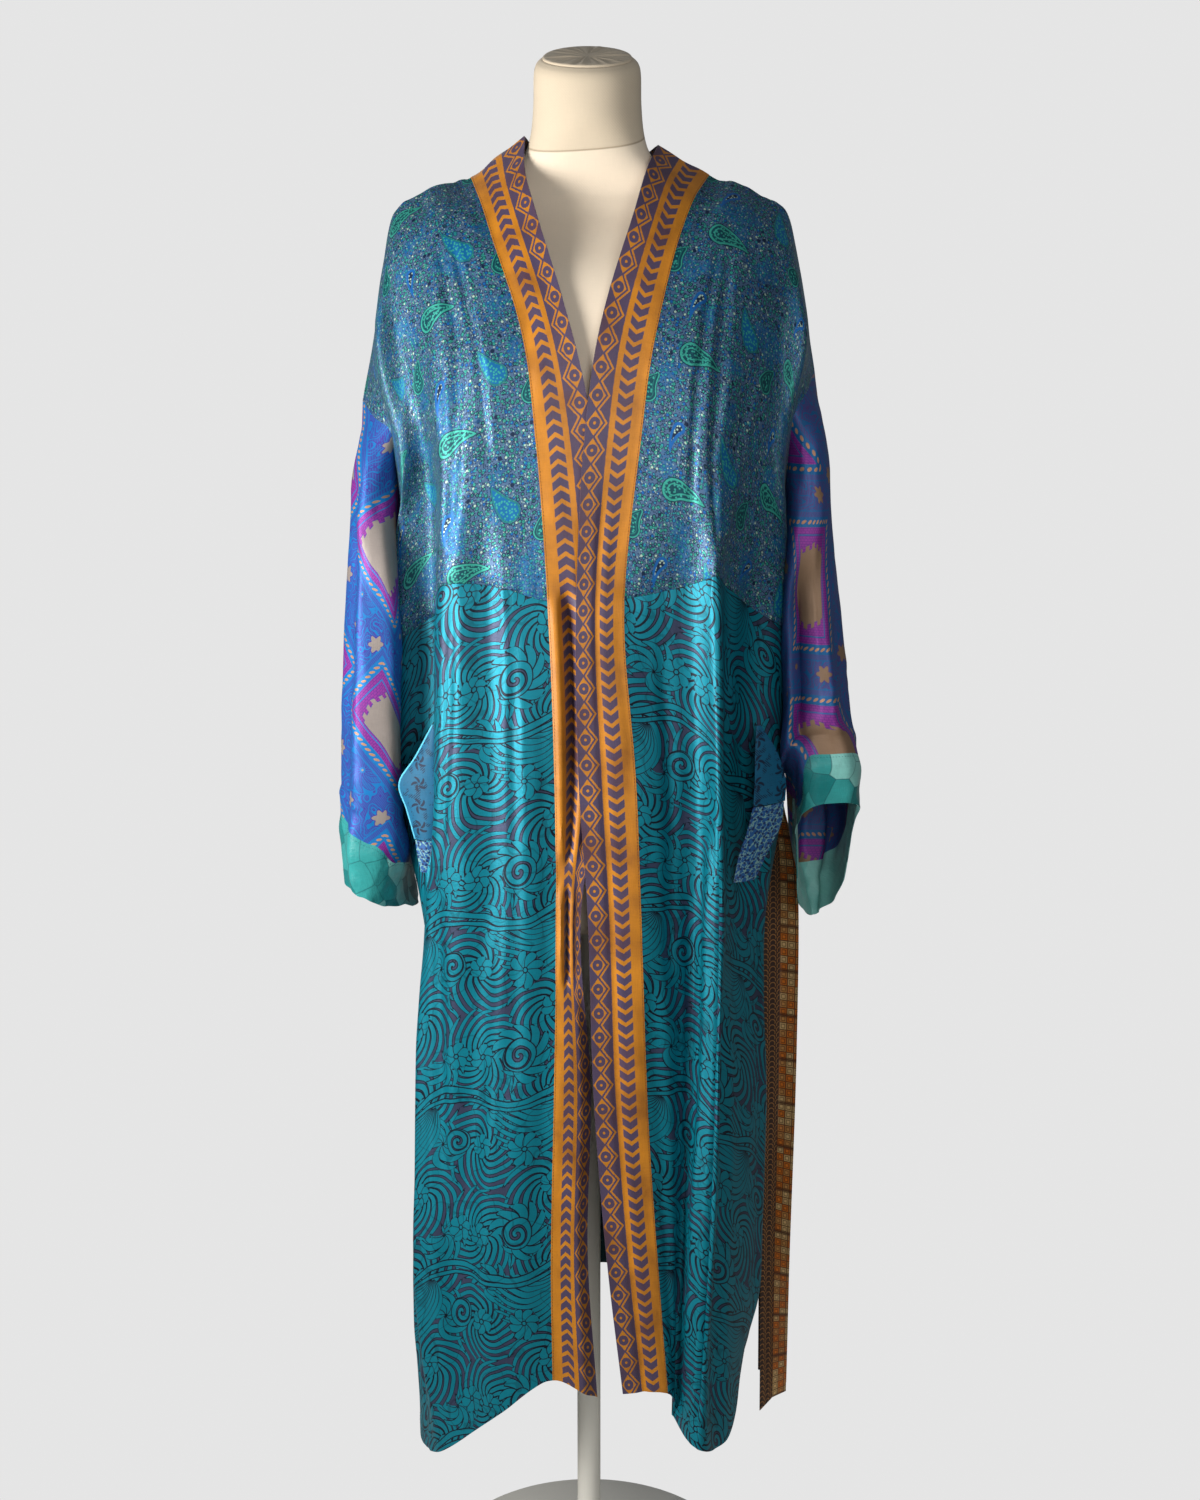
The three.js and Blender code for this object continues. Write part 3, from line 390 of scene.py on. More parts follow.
def fan(x, y, petals, inner, outer, width, twist=0.0, blunt=0.6, sharp=0.4, turn=0.0, only=None):
    # petals round a point, bent by a twist that grows with the radius: the distance across from the
    # nearest petal's middle line, less the petal's half width share^blunt (1 - share)^sharp
    radius = radiusOf(x, y)
    angle = y.calc("ARCTAN2", x).calc("ADD", radius * twist) + turn
    number = (angle * (petals / (2 * math.pi))).calc("ROUND")
    across = (angle - number * (2 * math.pi / petals)) * radius
    share = ((radius - inner) / (outer - inner)).clip(0.0, 1.0)
    most = (blunt / (blunt + sharp)) ** blunt * (sharp / (blunt + sharp)) ** sharp
    half = (share ** blunt) * ((1 - share) ** sharp) * (width / most)
    half = half.calc("MINIMUM", radius * (math.pi / petals) - 0.45)
    away = across.size() - half
    if only:  # keep a run of the petals, by their numbers
        middle, reach = (only[0] + only[1]) / 2, (only[1] - only[0]) / 2
        away = away + (number - middle).size().calc("GREATER_THAN", reach + 0.1) * 50
    return away.calc("MAXIMUM", (radius - outer).calc("MAXIMUM", inner - radius))


def coil(x, y, size, pitch, band, hand=1, turn=0.0):
    # a winding band: the radius plus its share of a turn, wrapped by the pitch; the band thins inward
    radius = radiusOf(x, y)
    wound = (radius + y.calc("ARCTAN2", x) * (hand * pitch / (2 * math.pi)) + turn).wrap(pitch)
    return (wound.size() - (radius * (0.6 * band / size) + 0.4 * band)).calc("MAXIMUM", radius - size)


def drop(x, y, wide, tall, bend):
    # a round foot drawn out to a point that leans over by the bend: distance from its outline
    reach = y.clip(0.0, tall)
    share = reach / tall
    fromLine = radiusOf(x - share * share * bend, y - reach)
    return fromLine - ((1 - share) ** 0.7) * wide


class Print:
    # two layers painted in order, fill and line, each from 0 to 1
    def __init__(self, fill, line):
        self.fill, self.line = fill, line

    def lay(self, away, line=1.3):  # a motif, by the distance from its outline, with a line round it
        inside, core = under(away, line), under(away, 0)
        self.fill = blend(inside, self.fill, core)
        self.line = blend(inside, self.line, 1 - core)


def tint(*levels):
    # screen levels from 0 to 255 as light
    share = np.array(levels) / 255
    light = np.where(share < 0.04045, share / 12.92, ((share + 0.055) / 1.055) ** 2.4)
    return tuple(float(x) for x in light)


class Finish:
    # a cloth's material: its print is worked out from u and v, mm across and along the cloth
    def __init__(self, name, layer="cloth"):
        self.material = bpy.data.materials.new(name)
        self.material.use_nodes = True
        self.tree = self.material.node_tree
        self.shader = self.tree.nodes["Principled BSDF"]
        place = self.tree.nodes.new("ShaderNodeUVMap" if layer else "ShaderNodeTexCoord")
        if layer:
            place.uv_map = layer
        parts = self.tree.nodes.new("ShaderNodeSeparateXYZ")
        self.tree.links.new(place.outputs["UV" if layer else "Object"], parts.inputs[0])
        self.u, self.v, self.w = (Num(self.tree, parts.outputs[k]) * 1000 for k in range(3))

    def done(self, colour, height, roughness, sheen=0.0, specular=0.4, depth=0.25, weave=0.35, satin=0.0):
        # the bump reads the height, a Num in mm; satin is the share of light returned in the cloth's colour
        self.shader.inputs["Metallic"].default_value = satin
        feed(self.tree, self.shader.inputs["Base Color"], colour)
        self.shader.inputs["Roughness"].default_value = roughness
        self.shader.inputs["Specular IOR Level"].default_value = specular
        self.shader.inputs["Sheen Weight"].default_value = sheen
        self.shader.inputs["Sheen Roughness"].default_value = 0.4
        bumpNode = self.tree.nodes.new("ShaderNodeBump")
        bumpNode.inputs["Strength"].default_value = weave
        bumpNode.inputs["Distance"].default_value = depth * mm
        feed(self.tree, bumpNode.inputs["Height"], height)
        self.tree.links.new(bumpNode.outputs["Normal"], self.shader.inputs["Normal"])
        return self.material


def slub(u, v):
    # silk's uneven threads: long noise across and along, laid over each other
    return cloud(u * 4, v * 0.25, 3.0, 1.0) + cloud(u * 0.25, v * 4, 3.0, 1.0)


def wornBy(colour, u, v, amount):
    # the colour made lighter and darker in soft uneven patches and by thread
    patch = cloud(u, v, 38.0, 3.0) - 0.5
    thread = slub(u, v) - 1
    gain = patch * amount + thread * (0.5 * amount) + 1
    node = gain.tree.nodes.new("ShaderNodeVectorMath")
    node.operation = "SCALE"
    feed(gain.tree, node.inputs[0], colour)
    feed(gain.tree, node.inputs["Scale"], gain)
    return Num(gain.tree, node.outputs[0])


# skirt silk: bundles of bent fronds, coils, rosettes and a waving stem, packed close

skirtPrint = {
    "tile": (158, 186),
    "teal": tint(0, 116, 134), "line": tint(2, 14, 30), "ground": tint(52, 60, 84),
    # the inner face's colours: the print muted for the wrong side and darkened as painted shade
    "inside": (tint(0, 50, 58), tint(4, 14, 24), tint(22, 30, 40)),
    # fronds packed over the whole ground: place, petals, reach, twist
    "packed": [(0, 0, 14, 51, 0.045), (79, 46, 13, 50, -0.05),
               (0, 93, 14, 50, -0.042), (79, -46, 15, 51, 0.048)],
    # smaller fans between them: place, petals, reach, twist, first and last petal
    "fans": [(27, 50, 9, 30, -0.06, -4, 3), (-29, 44, 8, 26, 0.07, -2, 4),
             (30, -48, 9, 29, 0.06, -4, 2), (-70, -8, 8, 25, -0.07, -3, 3)],
}


def skirtSilk(name, teal, line, ground, roughness=0.46):
    cloth = Finish(name)
    tile = skirtPrint["tile"]
    sway = cloud(cloth.u, cloth.v, 40.0, 1.0) - 0.5
    u, v = cloth.u + sway * 7, cloth.v + sway * 7
    art = Print(0.0, 0.0)
    for left, up, petals, reach, twist in skirtPrint["packed"]:
        x, y = repeat(u, v, (left, up), tile)
        art.lay(fan(x, y, petals, 9, reach, 4.5, twist, 0.6, 0.22), 1.5)
    for left, up, petals, reach, twist, first, last in skirtPrint["fans"]:
        x, y = repeat(u, v, (left, up), tile)
        art.lay(fan(x, y, petals, 2, reach, 4.6, twist, 0.55, 0.24, 0.0, (first, last)), 1.5)
    # a small flower at the middle of each
    x, y = repeat(u, v, (0, 0), (tile[0] / 2, tile[1] / 2))
    art.lay(fan(x, y, 6, 2.5, 13, 4.6, 0.05, 0.6, 0.25), 1.5)
    art.lay(radiusOf(x, y) - 1.9, 1.3)
    # long fronds that sweep down from the stem
    x, y = repeat(u, v, (16, 2), tile, 0)
    art.lay(fan(x, y, 38, 5, 86, 3.4, 0.018, 0.4, 0.26, 0.0, (-14, -5)), 1.3)
    # the stem: a long wave from side to side, with a thin one beside it
    x, y = repeat(u, v, (0, 6), tile, 0)
    wave = (x * (2 * math.pi / tile[0])).calc("SINE")
    art.lay((y - wave * 10).size() - 2.8, 1.4)
    art.lay((y + 8 - wave * 7).size() - 1.7, 1.3)
    # a large coil, lobes along its outer side
    x, y = repeat(u, v, (-36, 46), tile, 0)
    art.lay(fan(x, y, 11, 12, 32, 5.4, -0.035, 0.5, 0.24, 0.0, (-4, 4)), 1.6)
    art.fill = blend(under(radiusOf(x, y), 16.5), art.fill, 0.0)
    art.line = blend(under(radiusOf(x, y), 16.5), art.line, 0.0)
    art.lay(coil(x, y, 16, 8.4, 3.3, 1, 2.0), 1.2)
    # a rosette with a round eye on open ground
    x, y = repeat(u, v, (-30, -52), tile, 0)
    art.fill = blend(under(radiusOf(x, y), 17), art.fill, 0.0)
    art.line = blend(under(radiusOf(x, y), 17), art.line, 0.0)
    art.lay(fan(x, y, 8, 2, 18, 4.6, 0.03, 0.7, 0.26), 1.4)
    art.lay(radiusOf(x, y) - 2, 1.3)
    # a small coil that winds the other way, and small flowers
    x, y = repeat(u, v, (48, -40), tile, 0)
    art.fill = blend(under(radiusOf(x, y), 13), art.fill, 0.0)
    art.lay(coil(x, y, 14, 7.6, 3.1, -1), 1.1)
    x, y = repeat(u, v, (50, 52), tile, 0)
    art.lay(fan(x, y, 6, 1.5, 14, 5.0, 0.03, 0.5, 0.25, 0.4), 1.4)
    art.lay(radiusOf(x, y) - 1.8, 1.3)
    colour = blend(art.line, ground, line)
    colour = blend(art.fill, colour, teal)
    colour = blend(under(sway.size(), 0.012, 0.004) * 0.3, colour, line)
    u, v = cloth.u, cloth.v
    return cloth.done(wornBy(colour, u, v, 0.24), slub(u, v), roughness, 0.0, 0.3, satin=0.4)


# bodice silk: rings, dots and dashes, thickly strewn, with paisleys between them

bodicePrint = {
    "tile": (124, 126),
    "ground": tint(70, 98, 130), "blue": tint(10, 90, 158), "deep": tint(6, 32, 62),
    "green": tint(26, 112, 106), "mint": tint(50, 154, 138), "cream": tint(166, 194, 178),
    "teal": tint(0, 66, 78), "bright": tint(0, 96, 150),
}


def bodiceSilk(name):
    cloth = Finish(name)
    u, v, tile = cloth.u, cloth.v, bodicePrint["tile"]
    ground, blue, deep, green, mint, cream, teal, bright = (
        bodicePrint[key] for key in ("ground", "blue", "deep", "green", "mint", "cream", "teal", "bright"))
    # fine dark grain and short pale dashes
    grain, grainDraw = dots(u, v, 1.9, 1.0)
    colour = blend(under(grain, 0.62) * under(grainDraw, 0.6, 0.01), ground, deep)
    dash, dashDraw = dots(u * 0.9 + v * 0.35, v * 0.42, 2.6, 1.0)
    colour = blend(under(dash, 0.38) * under(dashDraw, 0.3, 0.01) * 0.8, colour, cream)
    # beads of several sizes and colours, dark round the rim, some of them rings
    away, draw = dots(u, v, 4.7, 0.85)
    bead = blend(under(draw, 0.3, 0.01), blue, green)
    bead = blend(under((draw - 0.62).size(), 0.12, 0.01), bead, deep)
    bead = blend(1 - under(draw, 0.93, 0.01), bead, cream)
    rim = (draw * 2.2).wrap(1.0).size() * 1.6 + 0.9
    colour = blend(under(away - rim, 0.5), colour, deep)
    colour = blend(under(away - rim, 0), colour, bead)
    colour = blend(under((away - rim * 0.5).size(), 0.22, 0.15) * under(draw, 0.7, 0.01), colour, mint)
    small, smallDraw = dots(u, v, 3.1, 1.0)
    colour = blend(under(small, 0.62) * under(smallDraw, 0.34, 0.01), colour, mint)
    colour = blend(under(small, 0.5) * (1 - under(smallDraw, 0.88, 0.01)), colour, cream)
    speckle = under(small, 0.9)
    # broad soft clouds of brighter blue
    colour = blend(under(cloud(u, v, 34.0, 1.0), 0.38, 0.05) * (1 - speckle) * 0.55, colour, bright)
    # a ring of mint beads drawn out to a tail, its eye a small almond
    x, y = turnedBy(*repeat(u, v, (36, 44), tile), -1.3)
    ring = drop(x, y, 11, 30, 12)
    colour = blend(under(ring, 0.8), colour, deep)
    colour = blend(under(ring, 0), colour, blend(speckle, teal, mint))
    colour = blend(under((ring + 1.2).size(), 1.0), colour, mint)
    colour = blend(under((ring + 5.6).size(), 0.6), colour, mint)
    # a bright almond with pale dots
    x, y = turnedBy(*repeat(u, v, (-30, 24), tile), 0.8)
    almond = drop(x, y, 10.5, 30, 9)
    colour = blend(under(almond, 0.9) * 0.6, colour, deep)
    colour = blend(under(almond, 0), colour, blend(speckle, bright, mint))
    colour = blend(under((almond + 1.0).size(), 0.6), colour, green)
    # small commas
    x, y = repeat(u, v, (0, 0), tile)
    comma = drop(x, y, 7.4, 18, 8)
    colour = blend(under(comma, 2.6), colour, deep)
    colour = blend(under(comma, 2.0), colour, mint)
    colour = blend(under(comma, 0.9), colour, blend(speckle * under(comma, -1.6), teal, mint))
    colour = blend(under((comma + 1.4).size(), 0.35), colour, green)
    # a hooked curl
    x, y = turnedBy(*repeat(u, v, (34, -26), tile), 2.4)
    curl = drop(x, y, 6.0, 22, -12)
    colour = blend(under((curl + 1.6).size(), 1.5), colour, blue)
    colour = blend(under(curl, -3.0), colour, blend(speckle, deep, cream))
    return cloth.done(wornBy(colour, u, v, 0.24), slub(u, v), 0.5, 0.05, satin=0.4)


# sleeve silk: pale patches with brick borders and rows of dots, over scrolls drawn in violet

sleevePrint = {
    "tile": (132, 178),
    "ground": tint(6, 106, 170), "violet": tint(58, 46, 136), "beige": tint(136, 126, 120),
    "magenta": tint(130, 44, 134), "orange": tint(170, 124, 96), "brick": tint(96, 36, 124),
}


def sleeveSilk(name, ground, beige, violet, shift, slant):
    cloth = Finish(name)
    u, v, tile = cloth.u + shift[0], cloth.v + shift[1], sleevePrint["tile"]
    magenta, orange, brick = (sleevePrint[key] for key in ("magenta", "orange", "brick"))
    # scrolls: bands along the level lines of a soft noise, edged and hatched
    hatch = under((u * 0.8 + v * 0.6).wrap(1.9).size(), 0.45)
    band = (cloud(u, v, 20.0, 0.8) * 8).wrap(1.0).size()
    colour = blend(under(band, 0.27, 0.02) * (hatch * 0.6 + 0.35), ground, violet)
    colour = blend(under((band - 0.28).size(), 0.05, 0.02), colour, violet)
    # leaf sprays and flowers on open ground
    for centre, petals, reach, twist, eye in (((-38, 34), 7, 19, 0.02, 3.2), ((34, -78), 8, 17, 0.0, 3.0),
                                              ((-34, -34), 11, 24, -0.03, 1.2)):
        x, y = repeat(u, v, centre, tile)
        petal = fan(x, y, petals, 3, reach, 4.2, twist, 0.5, 0.3)
        colour = blend(under(radiusOf(x, y), reach + 1), colour, ground)
        colour = blend(under(petal, 0) * (hatch * 0.6 + 0.1), colour, violet)
        colour = blend(under((petal + 0.4).size(), 0.45), colour, violet)
        colour = blend(under(radiusOf(x, y), eye), colour, beige)
    # pale blots with six soft points
    for centre in ((-54, -66), (-14, -84), (50, 72)):
        x, y = repeat(u, v, centre, tile)
        star = radiusOf(x, y) - ((y.calc("ARCTAN2", x) * 6).calc("COSINE") * 1.8 + 7.6)
        colour = blend(under(star, 1.1), colour, violet)
        colour = blend(under(star, 0), colour, beige)
    # the patch: a long oblong with a stepped end, a brick border, dots and a hatched band round it
    x, y = turnedBy(*repeat(u, v, (6, 4), tile), slant)
    jag = ((x * 0.22).calc("FLOOR").wrap(2.0).size() * 5).calc("ADD", x.size() * 0.35)
    side, end = x.size() - 21, y.size() + jag - 44
    patch = side.calc("MAXIMUM", end)
    frameOut = (x.size() - 21).calc("MAXIMUM", y.size() - 48)
    rowNumber = (y / 2.6).calc("FLOOR")
    mortar = under((y / 2.6).calc("FRACT") * 2.6, 0.6, 0.2).calc(
        "MAXIMUM", under(((x + rowNumber * 2.2) / 4.4).calc("FRACT") * 4.4, 0.7, 0.2))
    bricks = blend(mortar, magenta, brick)
    colour = blend(under(frameOut, 27), colour, ground)
    colour = blend(under((frameOut - 23).size(), 2.6) * (hatch * 0.6 + 0.3), colour, violet)
    bead = radiusOf(frameOut - 15.5, (x + y).wrap(7.0)) - 2.1
    colour = blend(under(bead, 0), colour, orange)
    colour = blend(under((frameOut - 7).size(), 3.4), colour, bricks)
    colour = blend(under(frameOut, 2.2), colour, bricks)
    colour = blend(under(patch, 0.8), colour, violet)
    colour = blend(under(patch, 0), colour, beige)
    return cloth.done(wornBy(colour, u, v, 0.22), slub(u, v), 0.48, 0.0, 0.3, satin=0.2)


# cuff silk: scraps of three greens pieced together, with darker joins; its reverse copy is washed with pale
# aqua as painted light

cuffPrint = {"teal": tint(0, 112, 112), "sea": tint(40, 138, 136), "aqua": tint(120, 184, 176),
             "deep": tint(0, 66, 74)}


def cuffSilk(name, pale=1.0):
    cloth = Finish(name)
    u, v = cloth.u, cloth.v
    x, y = turnedBy(u, v, 0.3)
    edge = dots(x, y, 27.0, 0.75, "DISTANCE_TO_EDGE")
    draw = dots(x, y, 27.0, 0.75)[1]
    colour = blend(under(draw, 0.66, 0.01), cuffPrint["aqua"], cuffPrint["sea"])
    colour = blend(under(draw, 0.36, 0.01), colour, cuffPrint["teal"])
    colour = blend(under(edge, 0.5) * 0.6, colour, cuffPrint["deep"])
    # on the reverse the print is washed over with pale aqua, as much as 1 - pale: painted light that lifts
    # the cuff's inside out of its shade
    colour = blend(under(edge, 99) * (1 - pale), colour, cuffPrint["aqua"])
    crush = cloud(u, v, 12.0, 2.0) * 5
    return cloth.done(wornBy(colour, u, v, 0.4), slub(u, v) + crush, 0.46, 0.15, 0.4, 0.5)


# trim silk, in columns from its outer edge: border, chevrons, stripe, zigzag, circles in diamonds

trimPrint = {
    "orange": tint(196, 124, 20), "slate": tint(72, 62, 90), "stitch": tint(80, 36, 16),
    "border": 12.5, "chevronEnd": 30, "stripeEnd": 35, "diamondMiddle": 49.5,
    "pitch": 12.3,
}


def trimSilk(name):
    cloth = Finish(name)
    u, v, pitch = cloth.u, cloth.v, trimPrint["pitch"]
    orange, slate = trimPrint["orange"], trimPrint["slate"]
    wobble = (cloud(u, v, 5.0, 1.0) - 0.5) * 0.7
    u, v = u + wobble, v + wobble
    middle = (trimPrint["border"] + trimPrint["chevronEnd"]) / 2
    arm = (u - middle).size()
    wave = ((v + arm * 0.66) / pitch).calc("FRACT") * pitch
    chevron = under((wave - pitch / 2).size(), 3.9) * under(arm, 7.9)
    x, y = u - trimPrint["diamondMiddle"], v.wrap(2 * pitch)
    ratio = x.size() / 8.4 + y.size() / 11.2
    disc = radiusOf(x, y)
    diamond = under(ratio, 1.0, 0.05) * (1 - under(disc, 5.6)) + under(disc, 1.4)
    zigzag = under((ratio - 1.42).size(), 0.13, 0.04) * under(x, 0)
    beads = (diamond + zigzag).calc("MINIMUM", 1.0)
    colour = blend(under(u, trimPrint["stripeEnd"]), blend(beads, slate, orange), orange)
    colour = blend(chevron, colour, slate)
    stitch = under((u - 1.6).size(), 0.3, 0.15)
    colour = blend(stitch * 0.5, colour, trimPrint["stitch"])
    stain = cloud(u, v, 44.0, 4.0).calc("POWER", 2.6) * 1.1
    colour = blend(stain, colour, trimPrint["stitch"])
    return cloth.done(wornBy(colour, u, v, 0.3), slub(u, v), 0.5, 0.15)


# pocket silks and belt silk

pocketPrint = {
    "plain": tint(10, 88, 122), "sprig": tint(8, 32, 58),
    "blue": tint(28, 82, 140), "cream": tint(120, 164, 160), "deep": tint(14, 38, 86),
}


def pocketPlainSilk(name):
    cloth = Finish(name)
    u, v = cloth.u, cloth.v
    x, y = turnedBy(*repeat(u, v, (4, 6), (26, 22)), 0.7)
    sprig = fan(x, y, 5, 1, 8, 1.5, 0.12, 0.5, 0.4)
    shadow = cloud(u, v, 9.0, 3.0)
    colour = blend(under(sprig, 0), pocketPrint["plain"], pocketPrint["sprig"])
    shadow = under(shadow, 0.42, 0.03) * under((u + v).wrap(2.4).size(), 0.6)
    colour = blend(shadow, colour, pocketPrint["sprig"])
    return cloth.done(wornBy(colour, u, v, 0.35), slub(u, v), 0.55, 0.05, 0.3)


def pocketDitsySilk(name):
    cloth = Finish(name)
    u, v = cloth.u, cloth.v
    sway = cloud(u, v, 5.0, 1.0) - 0.5
    squiggle = dots(u + sway * 9, v + sway * 9, 5.4, 0.9, "DISTANCE_TO_EDGE")
    colour = blend(under(squiggle, 0.5), pocketPrint["blue"], pocketPrint["cream"])
    spot, draw = dots(u, v, 4.6, 0.8)
    colour = blend(under(spot, 1.2), colour, pocketPrint["deep"])
    return cloth.done(wornBy(colour, u, v, 0.3), slub(u, v), 0.5, 0.15)


beltPrint = {
    "tan": tint(196, 136, 74), "orange": tint(214, 116, 34), "brown": tint(74, 40, 22),
    "cream": tint(214, 176, 118), "bark": tint(50, 30, 20), "pitch": 8.4,
}


def beltSilk(name):
    cloth = Finish(name)
    u, v, pitch = cloth.u, cloth.v, beltPrint["pitch"]
    column, row = (u / pitch).calc("FLOOR"), (v / pitch).calc("FLOOR")
    odd = (column + row).calc("WRAP", 2.0, 0.0)
    draw = (column * 12.9898 + row * 78.233).calc("SINE") * 43758.5
    draw = draw.calc("FRACT")
    x, y = (u / pitch).calc("FRACT") - 0.5, (v / pitch).calc("FRACT") - 0.5
    frame = under(0.5 - x.size().calc("MAXIMUM", y.size()), 0.09, 0.02)
    ring = under((x.size().calc("MAXIMUM", y.size()) - 0.25).size(), 0.06, 0.02)
    colour = blend(under(odd, 0.5, 0.01), beltPrint["tan"], beltPrint["orange"])
    colour = blend(under(draw, 0.3, 0.01), colour, beltPrint["cream"])
    colour = blend(ring * 0.75, colour, beltPrint["brown"])
    colour = blend(frame * 0.85, colour, beltPrint["brown"])
    stripe = under(v.wrap(6 * pitch).size(), 2.2)
    colour = blend(stripe * 0.7, colour, beltPrint["brown"])
    # the half on the other side of the crease: dark brown, painted shade for the shadow that half hangs in,
    # with scallops drawn in tan over it
    scallop = (radiusOf(u.wrap(9.0), (v + (u / 9.0).calc("ROUND") * 3.0).wrap(6.0) + 1.5) - 3.6).size()
    dark = blend(under(scallop, 0.5) * 0.5, beltPrint["bark"], beltPrint["tan"])
    # the left half of the belt takes the painted shade
    colour = blend(under(u, -0.5, 0.5), colour, dark)
    return cloth.done(wornBy(colour, u, v, 0.35), slub(u, v), 0.5, 0.15)


# plain threads, jersey and paint

plainTones = {
    "piping": tint(90, 190, 220), "thread": tint(110, 60, 26), "tealThread": tint(10, 70, 84),
    # neck: the jersey darkened, painted shade for the top of the form
    "jersey": tint(226, 210, 188), "neck": tint(206, 190, 166), "seam": tint(150, 132, 108),
    "paint": tint(228, 224, 214),
}


def threadFinish(name, tone):
    cloth = Finish(name, None)
    ply = (cloth.u + cloth.v + cloth.w * 2).wrap(1.2).size()
    # the grooves between the plies are painted darker: painted shade
    colour = blend(under(ply, 0.2, 0.2) * 0.4, tone, tuple(0.4 * c for c in tone))
    return cloth.done(colour, ply, 0.7)


def jerseyFinish(name):
    # fine knit columns, the dark seam that runs round the foot of the neck, and the neck above it in a darker
    # tone, which is painted shade
    cloth = Finish(name, None)
    x, y, z = cloth.u, cloth.v, cloth.w
    knit = (x * 2.4).calc("SINE") * (z * 2.4).calc("SINE")
    seamHeight = x * 0.076 + y * 0.31 + 1517.7
    away = (z - seamHeight).size()
    # above the seam the neck tone: the jersey darkened as painted shade on the top of the form
    colour = blend(under(z - seamHeight, 0, 1.0), plainTones["neck"], plainTones["jersey"])
    colour = blend(under(away, 0.8, 0.5) * 0.75, colour, plainTones["seam"])
    height = knit * 0.3 - under(away, 1.2, 1.0) * 4
    return cloth.done(wornBy(colour, x, z, 0.08), height, 0.85, 0.1, 0.3, 0.3, 0.3)


def paintFinish(name):
    cloth = Finish(name, None)
    speck = cloud(cloth.u, cloth.v, 3.0, 2.0)
    edge = blend(speck * 0.15, plainTones["paint"], tuple(0.7 * c for c in plainTones["paint"]))
    return cloth.done(edge, speck, 0.45, 0.0, 0.5, 0.05)


silks = {
    "bodice": bodiceSilk("bodiceSilk"),
    "skirt": skirtSilk("skirtSilk", skirtPrint["teal"], skirtPrint["line"], skirtPrint["ground"]),
    # the inner face: a darker copy of the skirt print, partly the muted wrong side, partly painted shade
    "inside": skirtSilk("insideSilkPaintedShade", *skirtPrint["inside"], 0.6),
    "sleeveLeft": sleeveSilk("sleeveSilkLeft", sleevePrint["ground"], sleevePrint["beige"],
                             sleevePrint["violet"], (0, 0), 0.7),
    # the right sleeve's copy has a darker ground, beige and violet: painted shade for the side away from the
    # light
    "sleeveRight": sleeveSilk("sleeveSilkRight", tint(14, 86, 138), tint(128, 102, 80),
                              tint(74, 56, 116), (20, 30), 0.0),
    "cuff": cuffSilk("cuffSilk"),
    # the cuff's reverse: the same print washed pale, painted light on the cloth's inner face
    "cuffInsidePaintedLight": cuffSilk("cuffInsidePaintedLightSilk", 0.15),
    "trim": trimSilk("trimSilk"),
    "pocketPlain": pocketPlainSilk("pocketPlainSilk"),
    "pocketDitsy": pocketDitsySilk("pocketDitsySilk"),
    "belt": beltSilk("beltSilk"),
    "piping": threadFinish("pipingSilk", plainTones["piping"]),
    "thread": threadFinish("brownThread", plainTones["thread"]),
    "tealThread": threadFinish("tealThread", plainTones["tealThread"]),
    "jersey": jerseyFinish("formJersey"),
    "paint": paintFinish("standPaint"),
}
print("silks woven", {name: len(silk.node_tree.nodes) for name, silk in silks.items()})

# the robe's body: half fronts from the trim's free edge to the side seam, sections from the
# shoulder to the hem, each point (outward, depth, height) at trim, edge, mid, ridge, hollow, corner, side

